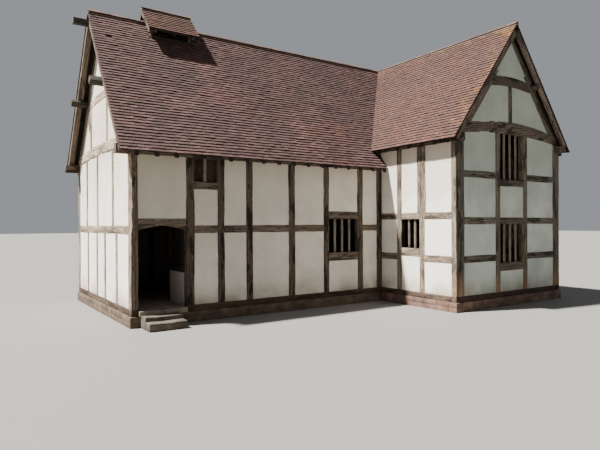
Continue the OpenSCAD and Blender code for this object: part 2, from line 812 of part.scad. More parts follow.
// Two stones: the upper one is rebated under the threshold
module door_steps() {
    x0 = door_x + 35;
    back = threshold_out + joint_gap;
    top = floor_z - step_rise;
    color(stone) {
        difference() {
            run_x(x0, x0 + step_w, -threshold_out - step_tread, -plinth_out - joint_gap, 0, top);
            run_x(0, far, -back, 0, plinth_h - joint_gap, far);
        }
        run_x(x0, x0 + step_w, -threshold_out - 2 * step_tread, -back - step_tread, 0,
            top - step_rise);
    }
}
module wall_plates() {
    right = hall_length + wing_width;
    color(oak) {
        run_x(-plate_out[0], hall_length - joint_gap, 0, plate_w, hall_plate_top - plate_h,
            hall_plate_top);
        run_x(-plate_out[1], hall_length - joint_gap, hall_depth - plate_w, hall_depth,
            hall_plate_top - plate_h, hall_plate_top);
        for (x = [hall_length, right - plate_w])
            run_x(x, x + plate_w, -wing_reach - wing_verge + 40, hall_depth + wing_verge - 40,
                wing_plate_top - plate_h, wing_plate_top);
    }
}

// Windows
module mullions(width, z0, z1, count) {
    for (i = [1:count])
        translate([width * i / (count + 1), frame_t / 2, z0]) rotate(45)
            translate([-mullion / 2, -mullion / 2, 0]) cube([mullion, mullion, z1 - z0]);
}
module lower_gable_mullions() {
    translate([gable_window_x, 0, 0])
        mullions(gable_window_w, sill_top + lower_window_z[0], sill_top + lower_window_z[1], 3);
}
module upper_gable_mullions() {
    difference() {
        translate([gable_window_x, 0, 0])
            mullions(gable_window_w, sill_top + high_rail_z, wing_plate_top + wing_tie[2], 3);
        wall(frame_t) tie_2d(wing_truss);
    }
}
module side_mullions() {
    translate([left_bay_y + start(side_row, 2), 0, 0])
        mullions(side_window[0], sill_top + side_window[1], sill_top + side_rail_z, 2);
}
module window_mullions() {
    color(dark_oak) {
        translate([hall_window_x, 0, 0])
            mullions(hall_window_w, sill_top + hall_window_z[0], sill_top + hall_window_z[1], 3);
        translate([upper_window_x, 0, 0])
            mullions(upper_window_w, sill_top + upper_window_z, hall_plate_top - plate_h, 1);
        facing_back() translate([hall_window_x, 0, 0])
            mullions(hall_window_w, sill_top + hall_window_z[0], sill_top + hall_window_z[1], 3);
        at_wing_front() lower_gable_mullions();
        at_wing_front() upper_gable_mullions();
        at_wing_rear() upper_gable_mullions();
        at_wing_left() side_mullions();
    }
}
module upper_shutter() {
    n = 3;
    x = upper_window_x - shutter[2];
    w = (upper_window_w + 2 * shutter[2]) / n;
    color(dark_oak) for (i = [0:n - 1])
        run_x(x + i * w + joint_gap, x + (i + 1) * w - joint_gap,
            frame_t, frame_t + shutter[0], sill_top + upper_window_z - shutter[1],
            hall_plate_top - plate_h);
}

// Passage screen inside the doorway
module screen_frame() {
    x = door_post_x;
    end = frame_t + screen_length;
    rail_top = sill_top + screen_rail_z + screen_rail[0];
    color(dark_oak) {
        run_x(x, x + screen_t, frame_t, end, sill_top + screen_rail_z, rail_top);
        run_x(x, x + screen_t, end + joint_gap, end + screen_rail[1], floor_z, hall_plate_top);
        run_x(x + (screen_t - screen_board_t) / 2, x + (screen_t + screen_board_t) / 2,
            frame_t, end, rail_top, sill_top + door_head_top);
    }
}
module screen_panel() {
    color(plaster) run_x(door_post_x + screen_in, door_post_x + screen_t - screen_in,
        plinth_w - plinth_out + joint_gap, frame_t + screen_length, floor_z,
        sill_top + screen_rail_z);
}

// Upper floor of the wing
floor_top = sill_top + side_rail_z + rail_h;
module wing_floor_beams() {
    color(oak) for (y = [wing_truss_y[1], wing_truss_y[2]])
        run_x(hall_length + frame_t + joint_gap, hall_length + wing_width - frame_t, y,
            y + floor_beam[1], floor_top - floor_beam[0], floor_top);
    color(oak) left_wall()
        box_2d(frame_t, wing_truss_y[2], floor_top - rail_h, floor_top);
    color(oak) left_wall()
        box_2d(wing_truss_y[2] + frame_t, hall_depth - 2 * frame_t, floor_top - rail_h,
            floor_top);
}
module wing_floor_joists() {
    y = [-wing_reach + frame_t, wing_truss_y[1] + floor_beam[1], wing_truss_y[2] + floor_beam[1],
        wing_truss_y[3]];
    clear = wing_width - 2 * frame_t - joist[1];
    n = floor(clear / joist_step);
    color(oak) for (b = [0:2]) for (i = [0:n]) {
        x = hall_length + frame_t + clear * i / n;
        run_x(x, x + joist[1], y[b] + joint_gap / 2, (b < 2 ? y[b + 1] - floor_beam[1] : y[3])
            - joint_gap / 2, floor_top - joist[0], floor_top);
    }
}
module wing_floor_boards() {
    color(oak) run_x(hall_length + frame_t, hall_length + wing_width - frame_t,
        -wing_reach + frame_t, hall_depth - frame_t, floor_top, floor_top + board_t);
}

// Roof timbers
module along_hall(x0, x1) { translate([x0, 0, 0]) facing_left() wall(x1 - x0) children(); }
module along_wing(y0, y1) { translate([hall_length, y0, 0]) wall(y1 - y0) children(); }
module hall_trusses() {
    for (x = hall_truss_x) along_hall(x, x + frame_t) children();
}
module wing_trusses() {
    for (y = wing_truss_y) along_wing(y, y + frame_t) children();
}
module tie_beams() {
    color(oak) {
        hall_trusses() tie_2d(hall_truss);
        wing_trusses() tie_2d(wing_truss);
    }
}
module collar_beams() {
    color(oak) {
        hall_trusses() collar_2d(hall_truss);
        wing_trusses() collar_2d(wing_truss);
    }
}
module principal_rafters() {
    color(oak) {
        hall_trusses() principals_2d(hall_truss);
        wing_trusses() principals_2d(wing_truss);
    }
}
// The part of the plan that the hall's roof covers, front half, kept back from the valley
module hall_plan_2d(back) {
    foot = hall_mid - valley_run * (ridge_x - wing_eave_x);
    shift = back / sin(valley_angle);
    polygon([
        [-far, -far], [-far, hall_mid], [ridge_x - shift, hall_mid],
        [wing_eave_x, foot + valley_run * shift], [wing_eave_x, tuck_y], [hall_length, tuck_y],
        [hall_length, -far]
    ]);
}
module hall_plan_both_2d(back) {
    hall_plan_2d(back);
    translate([0, hall_depth]) mirror([0, 1]) hall_plan_2d(back);
}
// The wing's left slope in front of the hall's ridge
module wing_plan_2d(back) {
    shift = back / cos(valley_angle);
    polygon([
        [wing_eave_x, -far], [ridge_x, -far], [ridge_x, hall_mid - shift],
        [wing_eave_x, valley_foot_y - shift]
    ]);
}
module upright() { linear_extrude(far) children(); }
module purlins() {
    for (side = [0, 1]) {
        color(oak) intersection() {
            along_hall(-beam_out[side + 1], ridge_x)
                purlin_2d(hall_pitch, hall_mid, purlin_reach[0], 2 * side - 1);
            upright() hall_plan_both_2d(valley_beam[0] / 2 + joint_gap);
        }
    }
    color(oak) along_wing(-wing_reach - wing_verge + 20, hall_depth + wing_verge - 20)
        purlins_2d(wing_pitch, wing_mid, purlin_reach[1]);
}
// The hall's ridge beam ends on the wing's middle truss
module ridge_beams() {
    low_z = ridge_beam_top(hall_pitch) - ridge_beam[1];
    back = (slope_z(wing_pitch, 0, build_up) - low_z) / tan(wing_pitch);
    color(oak) along_hall(-beam_out[0], ridge_x - max(back, ridge_beam[0] / 2) - joint_gap)
        ridge_beam_2d(hall_pitch, hall_mid);
    color(oak) along_wing(-wing_reach - wing_verge + 20, hall_depth + wing_verge - 20)
        ridge_beam_2d(wing_pitch, wing_mid);
}
module hall_rafter_row(x0, x1) {
    n = floor((x1 - x0) / rafter_step);
    for (i = [0:n]) {
        x = x0 + rafter_step * i;
        along_hall(x, x + rafter_w)
            band_2d(hall_pitch, hall_mid, eave_out - rafter_in, cover_t, rafter_d);
    }
}
module wing_rafter_row(y0, y1) {
    n = floor((y1 - y0) / rafter_step);
    for (i = [0:n]) {
        y = y0 + rafter_step * i;
        along_wing(y, y + rafter_w)
            band_2d(wing_pitch, wing_mid, eave_out - rafter_in, cover_t, rafter_d);
    }
}
module hall_rafters() {
    intersection() {
        hall_rafter_row(frame_t / 2 - rafter_w / 2, ridge_x - crossing_clear[0]);
        upright() hall_plan_2d(valley_beam[0] / 2);
    }
}
// The wing's rafters on the hall's side end on the valley rafter, or on the hall's tiles
module left_rafters(from) {
    difference() {
        intersection() {
            wing_rafter_row(from, hall_mid - crossing_clear[1]);
            upright() wing_plan_2d(valley_beam[0] / 2);
        }
        along_hall(0, hall_length) under_roof_2d(hall_pitch, hall_mid, -cover_gap);
    }
}
module common_rafters() {
    color(oak) {
        hall_rafters();
        facing_back() hall_rafters();
        left_rafters(-wing_reach + (frame_t - rafter_w) / 2);
        facing_back() left_rafters((frame_t - rafter_w) / 2);
        mirror_wing() wing_rafter_row(-wing_reach + (frame_t - rafter_w) / 2,
            hall_depth - frame_t);
    }
}
module valley_beam_solid() {
    run = norm([ridge_x - wing_eave_x, hall_mid - valley_foot_y]);
    fall = ridge_h - slope_z(wing_pitch, ridge_x - wing_eave_x, 0);
    slope = atan(fall / run);
    top = ridge_h - cover_t / cos(hall_pitch) - 5;
    difference() {
        intersection() {
            translate([ridge_x, hall_mid, top]) rotate([0, 0, 180 + valley_angle])
                rotate([0, slope, 0])
                    translate([ridge_beam[0], -valley_beam[0] / 2, -valley_beam[1]])
                        cube([2 * run, valley_beam[0], valley_beam[1]]);
            run_x(wing_eave_x, ridge_x - ridge_beam[0] / 2, tuck_y + joint_gap,
                wing_truss_y[2] - joint_gap, hall_plate_top, far);
        }
        run_x(hall_length, hall_length + plate_w, -far, far, 0, wing_plate_top);
        along_wing(-wing_reach, hall_depth)
            purlin_notches_2d(wing_pitch, wing_mid, purlin_reach[1], valley_beam[1]);
    }
}
module valley_rafters() {
    color(oak) {
        valley_beam_solid();
        facing_back() valley_beam_solid();
    }
}
module barge_2d(t) {
    difference() {
        union() {
            band_2d(t[0], t[1], barge_foot, cover_t, barge[0]);
            translate([2 * t[1], 0]) mirror([1, 0])
                band_2d(t[0], t[1], barge_foot, cover_t, barge[0]);
        }
        purlins_2d(t[0], t[1], t[6]);
        ridge_beam_2d(t[0], t[1]);
        for (u = [0, 2 * t[1] - plate_w]) box_2d(u, u + plate_w, t[2] - plate_h, t[2]);
    }
}
module barge_rafters() {
    color(oak) along_hall(barge_in - hall_verge, barge_in - hall_verge + barge[1])
        barge_2d(hall_truss);
    front = barge_in - wing_reach - wing_verge;
    color(oak) along_wing(front, front + barge[2]) barge_2d(wing_truss);
    color(oak) facing_back() along_wing(barge_in - wing_verge, barge_in - wing_verge + barge[2])
        barge_2d(wing_truss);
}

// Roof covering
module slope_cover_2d(slope, mid) {
    foot = mid + eave_out;
    polygon([
        [-eave_out, slope_z(slope, foot, 0)], [mid, ridge_h], [mid, slope_z(slope, 0, cover_t)],
        [-eave_out, slope_z(slope, foot, cover_t)]
    ]);
}
module hall_cover() {
    intersection() {
        along_hall(-hall_verge, ridge_x) slope_cover_2d(hall_pitch, hall_mid);
        upright() difference() {
            hall_plan_2d(cover_gap);
            translate([louvre_x, hall_mid - louvre_half])
                square([louvre_length, 2 * louvre_half]);
        }
    }
}
module wing_cover(y0, y1) {
    intersection() {
        along_wing(y0, y1) slope_cover_2d(wing_pitch, wing_mid);
        upright() wing_plan_2d(cover_gap);
    }
}
module hall_roof_front() { color(tile) hall_cover(); }
module hall_roof_rear() { color(tile) facing_back() hall_cover(); }
module wing_roof_left() {
    color(tile) wing_cover(-wing_reach - wing_verge, hall_mid);
    color(tile) facing_back() wing_cover(-wing_verge, hall_mid);
}
module wing_roof_right() {
    color(tile) mirror_wing() along_wing(-wing_reach - wing_verge, hall_depth + wing_verge)
        slope_cover_2d(wing_pitch, wing_mid);
}
module ridge_tile_2d(slope, mid, apex, reach, thick) {
    up = thick / cos(slope);
    z = apex - tan(slope) * reach;
    polygon([
        [mid - reach, z], [mid, apex], [mid + reach, z], [mid + reach, z + up],
        [mid + ridge_crown, apex + up - tan(slope) * ridge_crown],
        [mid - ridge_crown, apex + up - tan(slope) * ridge_crown],
        [mid - reach, z + up]
    ]);
}
// The plan of the hall's ridge tiles where they run into the wing's
module ridge_meeting_2d(back) {
    run = 2 * ridge_tile_reach;
    polygon([
        [ridge_x - back, hall_mid], [ridge_x - back - run, hall_mid + valley_run * run],
        [0, hall_mid + valley_run * run], [0, hall_mid - valley_run * run],
        [ridge_x - back - run, hall_mid - valley_run * run]
    ]);
}
module ridge_tiles() {
    color(tile) along_hall(-hall_verge, louvre_x)
        ridge_tile_2d(hall_pitch, hall_mid, ridge_h, ridge_tile_reach, ridge_tile_t);
    color(tile) intersection() {
        along_hall(louvre_x + louvre_length, ridge_x)
            ridge_tile_2d(hall_pitch, hall_mid, ridge_h, ridge_tile_reach, ridge_tile_t);
        upright() ridge_meeting_2d(joint_gap);
    }
    color(tile) difference() {
        along_wing(-wing_reach - wing_verge, hall_depth + wing_verge)
            ridge_tile_2d(wing_pitch, wing_mid, ridge_h, ridge_tile_reach, ridge_tile_t);
        upright() ridge_meeting_2d(0);
    }
}

// Smoke louvre
louvre_apex = ridge_h + louvre_rise;
louvre_slope = atan(louvre_drop / louvre_eave);
louvre_end = louvre_x + louvre_length;
function louvre_z(out, down) = louvre_apex - tan(louvre_slope) * out - down / cos(louvre_slope);
curb_top = slope_z(hall_pitch, louvre_half, 0) + curb_up;
plate_top = louvre_z(louvre_half, louvre_cover + louvre_rafter);
module louvre_curb() {
    inner = louvre_half - louvre_post;
    module curb_2d() {
        polygon([
            [hall_mid - louvre_half, slope_z(hall_pitch, louvre_half, cover_t)],
            [hall_mid - inner, slope_z(hall_pitch, inner, cover_t)],
            [hall_mid - inner, curb_top], [hall_mid - louvre_half, curb_top]
        ]);
    }
    color(oak) {
        along_hall(louvre_x, louvre_end) curb_2d();
        facing_back() along_hall(louvre_x, louvre_end) curb_2d();
    }
}
module louvre_rafter_2d(down, depth, mid = hall_mid) {
    polygon([
        [mid - louvre_eave + 20, louvre_z(louvre_eave - 20, down)],
        [mid - joint_gap / 2, louvre_z(joint_gap / 2, down)],
        [mid - joint_gap / 2, louvre_z(joint_gap / 2, down + depth)],
        [mid - louvre_eave + 20, louvre_z(louvre_eave - 20, down + depth)]
    ]);
}
module louvre_side() {
    p = louvre_post;
    b = louvre_barge[0];
    r = louvre_rafter;
    for (x = [louvre_x, louvre_end - p])
        run_x(x, x + p, hall_mid - louvre_half, hall_mid - louvre_half + p, curb_top,
            plate_top - p);
    run_x(louvre_x - louvre_verge + b, louvre_end + louvre_verge - b, hall_mid - louvre_half,
        hall_mid - louvre_half + p, plate_top - p, plate_top);
    for (x = [louvre_x, louvre_x + (louvre_length - r) / 2, louvre_end - r])
        along_hall(x, x + r) louvre_rafter_2d(louvre_cover, r);
    for (x = [louvre_x - louvre_verge, louvre_end + louvre_verge - b])
        along_hall(x, x + b) louvre_rafter_2d(louvre_cover, louvre_barge[1]);
}
module louvre_frame() {
    color(oak) {
        louvre_side();
        facing_back() louvre_side();
        for (x = [louvre_x, louvre_end - louvre_rafter])
            run_x(x, x + louvre_rafter, hall_mid - louvre_rafter / 2, hall_mid + louvre_rafter / 2,
                ridge_beam_top(hall_pitch), louvre_z(louvre_rafter / 2, louvre_cover + louvre_rafter));
    }
}
module louvre_roof() {
    module half_2d() {
        polygon([
            [hall_mid - louvre_eave, louvre_z(louvre_eave, 0)], [hall_mid, louvre_apex],
            [hall_mid, louvre_z(0, louvre_cover)],
            [hall_mid - louvre_eave, louvre_z(louvre_eave, louvre_cover)]
        ]);
    }
    color(tile) along_hall(louvre_x - louvre_verge, louvre_end + louvre_verge) {
        half_2d();
        translate([2 * hall_mid, 0]) mirror([1, 0]) half_2d();
    }
}
module louvre_ridge_tiles() {
    color(tile) along_hall(louvre_x - louvre_verge, louvre_end + louvre_verge)
        ridge_tile_2d(louvre_slope, hall_mid, louvre_apex, louvre_ridge[0], louvre_ridge[1]);
}

plinth();
door_steps();
threshold();
ground_floor();
sill_beams();
wall_plates();
hall_front_posts();
hall_front_rails();
hall_front_panels();
door_head();
hall_gable_posts();
hall_gable_rails();
hall_gable_panels();
rear_posts();
rear_rails();
rear_panels();
wing_side_posts();
wing_side_rails();
wing_side_panels();
wing_front_posts();
wing_front_rails();
wing_front_panels();
inner_posts();
window_mullions();
upper_shutter();
screen_frame();
screen_panel();
wing_floor_beams();
wing_floor_joists();
wing_floor_boards();
tie_beams();
collar_beams();
principal_rafters();
purlins();
ridge_beams();
common_rafters();
valley_rafters();
barge_rafters();
hall_roof_front();
hall_roof_rear();
wing_roof_left();
wing_roof_right();
ridge_tiles();
louvre_curb();
louvre_frame();
louvre_roof();
louvre_ridge_tiles();
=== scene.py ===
"""Half timbered house: hewn oak frame, limewashed panels, plain clay tile roofs and a smoke louvre.

Each timber and panel starts from its solid in the frame. Tiles, ridge tiles, stones and pegs are
set out from real sizes. All lengths are in metres.
"""
import math
import random

import bmesh
import bpy
import numpy as np
from mathutils import Matrix, Vector, noise


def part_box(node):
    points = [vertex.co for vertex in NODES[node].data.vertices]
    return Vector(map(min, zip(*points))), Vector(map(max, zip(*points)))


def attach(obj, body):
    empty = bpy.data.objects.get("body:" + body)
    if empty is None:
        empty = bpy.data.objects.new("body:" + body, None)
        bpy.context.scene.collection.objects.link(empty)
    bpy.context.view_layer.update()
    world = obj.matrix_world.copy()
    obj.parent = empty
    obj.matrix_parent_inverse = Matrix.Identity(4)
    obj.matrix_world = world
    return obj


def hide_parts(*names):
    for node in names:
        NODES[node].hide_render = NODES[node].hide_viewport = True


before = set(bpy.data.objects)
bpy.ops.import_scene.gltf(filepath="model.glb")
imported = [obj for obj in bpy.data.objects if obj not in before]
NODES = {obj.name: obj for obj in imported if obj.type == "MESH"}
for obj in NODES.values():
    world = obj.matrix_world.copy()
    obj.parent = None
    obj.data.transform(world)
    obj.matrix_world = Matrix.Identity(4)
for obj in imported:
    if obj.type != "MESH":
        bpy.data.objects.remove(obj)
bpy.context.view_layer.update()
random.seed(7)
noise.seed_set(7)
X, Y, Z = Vector((1, 0, 0)), Vector((0, 1, 0)), Vector((0, 0, 1))

# camera and light
CAMERA_PLACE = (-3.592, -12.318, 2.412)
CAMERA_YAW, CAMERA_PITCH, CAMERA_ROLL, CAMERA_SIGHT = 34.023, -0.130, 0.253, 400
FOCAL_PIXELS, PHOTO_WIDTH, SENSOR = 528.1, 600, 36.0
SUN_TRAVEL = Vector((0.61, -0.218, -1.0))
SUN_POWER, SUN_SPREAD, SUN_COLOUR = 20.0, 3, (1.0, 0.965, 0.91)
SKY_POWER, SKY_COLOUR = 0.36, (0.86, 0.90, 0.96, 1)


def show(name, data):
    """Puts a camera, a light or a mesh in the scene."""
    thing = bpy.data.objects.new(name, data)
    bpy.context.scene.collection.objects.link(thing)
    return thing


def make_camera():
    data = bpy.data.cameras.new("camera")
    data.sensor_width = SENSOR
    data.lens = FOCAL_PIXELS * SENSOR / PHOTO_WIDTH
    data.clip_end = CAMERA_SIGHT
    camera = show("camera", data)
    turn = (Matrix.Rotation(-math.radians(CAMERA_YAW), 4, "Z")
            @ Matrix.Rotation(math.radians(90 + CAMERA_PITCH), 4, "X")
            @ Matrix.Rotation(math.radians(-CAMERA_ROLL), 4, "Z"))
    camera.matrix_world = Matrix.Translation(CAMERA_PLACE) @ turn
    bpy.context.scene.camera = camera


def make_light():
    sun = bpy.data.lights.new("key", "SUN")
    sun.energy = SUN_POWER
    sun.angle = math.radians(SUN_SPREAD)
    sun.color = SUN_COLOUR
    lamp = show("key", sun)
    lamp.rotation_euler = SUN_TRAVEL.to_track_quat("-Z", "Y").to_euler()
    world = bpy.data.worlds.new("studio")
    world.use_nodes = True
    sky = world.node_tree.nodes["Background"]
    sky.inputs["Color"].default_value = SKY_COLOUR
    sky.inputs["Strength"].default_value = SKY_POWER
    bpy.context.scene.world = world


make_camera()
make_light()

# materials
ATTRIBUTE, COORDINATES, GEOMETRY = (
    "ShaderNodeAttribute", "ShaderNodeTexCoord", "ShaderNodeNewGeometry")
NOISE, MAPPING, RAMP = "ShaderNodeTexNoise", "ShaderNodeMapping", "ShaderNodeValToRGB"
RANGE, MATH, AXES = "ShaderNodeMapRange", "ShaderNodeMath", "ShaderNodeSeparateXYZ"


def linear(text):
    """An sRGB hex colour as linear values."""
    out = []
    for i in (0, 2, 4):
        v = int(text[i:i + 2], 16) / 255
        out.append(v / 12.92 if v <= 0.04045 else ((v + 0.055) / 1.055) ** 2.4)
    return (*out, 1.0)


def add(tree, kind, inputs=(), stops=(), **settings):
    """Adds one node with its settings and links.

    Inputs go by name or in order. Each is a value, a hex colour, a socket, or a node whose first
    output is meant. Stops, as (place, hex colour), fill a colour ramp. The rest are settings.
    """
    node = tree.nodes.new(kind)
    for key, value in settings.items():
        setattr(node, key, value)
    for key, value in inputs.items() if isinstance(inputs, dict) else enumerate(inputs):
        socket = node.inputs[key]
        if isinstance(value, bpy.types.Node):
            value = value.outputs[0]
        if isinstance(value, bpy.types.NodeSocket):
            tree.links.new(value, socket)
        else:
            socket.default_value = linear(value) if socket.type == "RGBA" else value
    for _ in stops[2:]:
        node.color_ramp.elements.new(0.5)
    if stops:
        for element, (spot, colour) in zip(node.color_ramp.elements, stops):
            element.position = spot
            element.color = linear(colour)
    return node


def start_material(name):
    material = bpy.data.materials.new(name)
    material.use_nodes = True
    material.node_tree.nodes.clear()
    return material, material.node_tree


def weather(tree, colour, coats, relief, strength, depth, roughness, specular):
    """Lays each coat (amount, colour) over the one before, and adds the relief and the sheen."""
    for amount, coat in coats:
        colour = add(tree, "ShaderNodeMix", {0: amount, 6: colour, 7: coat},
                     data_type="RGBA").outputs[2]
    bump = add(tree, "ShaderNodeBump", {"Strength": strength, "Distance": depth, "Height": relief})
    shader = add(tree, "ShaderNodeBsdfPrincipled", {
        "Base Color": colour, "Roughness": roughness, "Specular IOR Level": specular,
        "Normal": bump})
    add(tree, "ShaderNodeOutputMaterial", {"Surface": shader})


def weathered_oak(name, dark, middle, pale, tar, sun, splash=0.0):
    """Hewn oak, weathered outdoors: grey along raised grain, dark in checks and old tar patches.

    Tar, sun and splash: how much old tar, bleaching with painted sunlight on the faces turned to the
    sun, and rain splashed up from the ground show.
    """
    material, tree = start_material(name)
    high = add(tree, AXES, (add(tree, COORDINATES).outputs["Object"],)).outputs["Z"]
    grain = add(tree, ATTRIBUTE, attribute_name="grain").outputs["Vector"]
    tone = add(tree, ATTRIBUTE, attribute_name="tone").outputs["Fac"]
    # along and across the grain: streaks of 900 by 30 mm, growth rings of 7 mm cut by the axe,
    # patches of 200 mm, checks of 30 mm, and lost splinters of 100 by 33 mm
    streaks, rings, patches, checks, pits = (
        add(tree, NOISE, {
            "Vector": add(tree, MAPPING, {"Vector": grain, "Scale": scale}), "Scale": 1.0,
            "Detail": detail, "Roughness": rough, "Distortion": twist})
        for scale, detail, rough, twist in (
            ((1.1, 34, 34), 6.0, 0.62, 0.6),
            ((5, 150, 150), 3.0, 0.5, 0.0),
            ((1.3, 5, 5), 5.0, 0.62, 0.0),
            ((1.04, 33.8, 33.8), 2.0, 0.5, 0.3),
            ((10, 30, 30), 4.0, 0.7, 0.0)))
    # a check runs wherever its noise passes through one half
    apart = add(tree, MATH, (add(tree, MATH, (checks, 0.5), operation="SUBTRACT"),),
                operation="ABSOLUTE")
    whole = add(tree, RANGE, (apart, 0.0, 0.022))
    wood = add(tree, RAMP, (streaks,), ((0.28, dark), (0.5, middle), (0.74, pale)))
    shade = add(tree, RANGE, (tone, 0.0, 1.0, 0.76, 1.22))
    shaded = add(tree, "ShaderNodeMix", {
        0: 1.0, 6: wood, 7: add(tree, "ShaderNodeCombineColor", (shade, shade, shade))},
        data_type="RGBA", blend_type="MULTIPLY").outputs[2]
    # the faces turned to the sun (-X) are painted paler, also where they stand in shade: partly
    # bleaching, partly painted sunlight
    facing = add(tree, "ShaderNodeVectorMath", (add(tree, GEOMETRY).outputs["Normal"], -X),
                 operation="DOT_PRODUCT").outputs["Value"]
    bleach_and_light = add(tree, MATH, (add(tree, RANGE, (facing, 0.4, 0.9, 0.0, sun)),
                              add(tree, RANGE, (patches, 0.36, 0.58, 1.35, 0.35))),
                 operation="MULTIPLY")
    pale_and_lit = add(tree, RAMP, (streaks,), ((0.3, "7d6a58"), (0.5, "b9a48d"), (0.7, "d8c7b2")))
    # rain splashing up from the ground has reddened the foot
    foot = add(tree, MATH, (add(tree, RANGE, (high, 0.45, 1.15, splash, 0.0)),
                            add(tree, RANGE, (streaks, 0.3, 0.55))), operation="MULTIPLY")
    coats = ((add(tree, RANGE, (rings, 0.3, 0.7, 0.0, 0.25)), dark),
             (add(tree, RANGE, (patches, 0.53, 0.58, 0.0, tar)), "17110e"),
             (bleach_and_light, pale_and_lit),
             (foot, "9c7c5c"),
             (add(tree, RANGE, (pits, 0.54, 0.60, 0.0, 0.7)), dark),
             (add(tree, RANGE, (whole, 0.0, 1.0, 0.75, 0.0)), "1a1410"))
    raised = add(tree, MATH, (streaks, add(tree, RANGE, (rings, 0.0, 1.0, 0.8, 1.2))),
                 operation="MULTIPLY")
    relief = add(tree, MATH, (raised, add(tree, RANGE, (whole, 0.0, 1.0, 0.4, 1.0))),
                 operation="MULTIPLY")
    weather(tree, shaded, coats, relief, 0.6, 0.012, 0.88, 0.25)
    return material


def aged_limewash(name, clean, grey, stain_and_shade, stain_and_shade_amount, painted_shade=0.0):
    """Lime plaster on daub, limewashed by brush: chalky, softly mottled, stained along timbers, with
    painted shade there, under the eaves and on the inner faces.
    """
    material, tree = start_material(name)
    where = add(tree, COORDINATES).outputs["Object"]
    rim, foot, inside = (add(tree, ATTRIBUTE, attribute_name=word).outputs["Fac"]
                         for word in ("rim", "foot", "inside"))
    # clouds of 800 mm, runs of rain 110 mm wide and a metre long, brush marks of 40 mm
    clouds, runs, brush = (
        add(tree, NOISE, {
            "Vector": add(tree, MAPPING, {"Vector": where, "Scale": scale}), "Scale": 1.0,
            "Detail": detail, "Roughness": rough})
        for scale, detail, rough in (
            ((1.3, 1.3, 1.3), 5.0, 0.55), ((9, 9, 0.8), 4.0, 0.5), ((24, 24, 24), 6.0, 0.65)))
    # along the timbers the panels darken: partly staining, partly painted shade from the timbers'
    # edges
    edge = add(tree, MATH, (add(tree, RANGE, (rim, 0.2, 1.0)),
                            add(tree, RANGE, (brush, 0.35, 0.6))), operation="MULTIPLY")
    damp = add(tree, MATH, (foot, add(tree, RANGE, (clouds, 0.30, 0.62))), operation="MULTIPLY")
    # painted shade: darker up towards the eaves, and darker the nearer the doorway, away from the
    # wing's sunlit wall
    axes = add(tree, AXES, (where,)).outputs
    shadowed = add(tree, MATH, (add(tree, RANGE, (axes["X"], 0.4, 7.4, painted_shade, 0.0)),
                             add(tree, RANGE, (axes["Z"], 0.8, 2.8, 0.4, 1.0))),
                operation="MULTIPLY")
    # the last coat is painted shade on the inner faces, so that the inside reads dark
    coats = ((add(tree, RANGE, (clouds, 0.35, 0.68)), grey),
             (add(tree, RANGE, (runs, 0.55, 0.8, 0.0, 0.35)), grey),
             (add(tree, RANGE, (brush, 0.3, 0.7, 0.0, 0.10)), stain_and_shade),
             (add(tree, MATH, (edge, stain_and_shade_amount), operation="MULTIPLY"), stain_and_shade),
             (add(tree, MATH, (damp, 0.7), operation="MULTIPLY"), "807661"),
             # high on the wall the panels darken: partly staining, partly painted shade under the
             # eaves
             (add(tree, RANGE, (axes["Z"], 2.9, 4.3, 0.0, stain_and_shade_amount)), stain_and_shade),
             (shadowed, "8d8371"),
             (add(tree, MATH, (inside, 0.85), operation="MULTIPLY"), "5e5246"))
    weather(tree, clean, coats, brush, 0.35, 0.006, 0.92, 0.2)
    return material


def plain_clay_tile(name, stops, lichen, soot, warm):
    """Hand made clay tiles, sand faced and wood fired: each one its own red, brown or plum."""
    material, tree = start_material(name)
    where = add(tree, COORDINATES).outputs["Object"]
    tone, old = (add(tree, ATTRIBUTE, attribute_name=word).outputs["Fac"]
                 for word in ("tone", "lichen"))
    # soot in patches of 2 m, warm firings of 1 m, sand drawn 18 mm wide so that it shows, and
    # lichen in cushions of 250 mm
    broad, zone, sand, moss = (
        add(tree, NOISE, {
            "Vector": add(tree, MAPPING, {"Vector": where, "Scale": scale}), "Scale": 1.0,
            "Detail": detail, "Roughness": rough})
        for scale, detail, rough in (
            ((0.5, 0.5, 0.5), 3.0, 0.5), ((0.9, 1.1, 1.4), 2.0, 0.5), ((55, 55, 55), 4.0, 0.7),
            ((4, 4, 4), 6.0, 0.75)))
    grown = add(tree, MATH, (moss, add(tree, MATH, (old, 0.12), operation="MULTIPLY")),
                operation="ADD")
    spots = add(tree, RANGE, (grown, 0.62, 0.70))
    upward = add(tree, AXES, (add(tree, GEOMETRY).outputs["True Normal"],)).outputs["Z"]
    # the last coat: tails and joints darken, partly damp blackening and partly painted shade on the
    # faces turned down from the sky
    coats = ((add(tree, RANGE, (zone, 0.56, 0.70, 0.0, warm)), "8a4a36"),
             (add(tree, RANGE, (broad, 0.42, 0.62, 0.0, soot)), "362828"),
             (add(tree, RANGE, (sand, 0.40, 0.75, 0.0, 0.3)), "80706a"),
             (add(tree, MATH, (spots, lichen), operation="MULTIPLY"), "86622f"),
             (add(tree, RANGE, (upward, 0.0, 0.3, 0.9, 0.0)), "140d0c"))
    weather(tree, add(tree, RAMP, (tone,), stops), coats, sand, 0.5, 0.004, 0.85, 0.3)
    return material


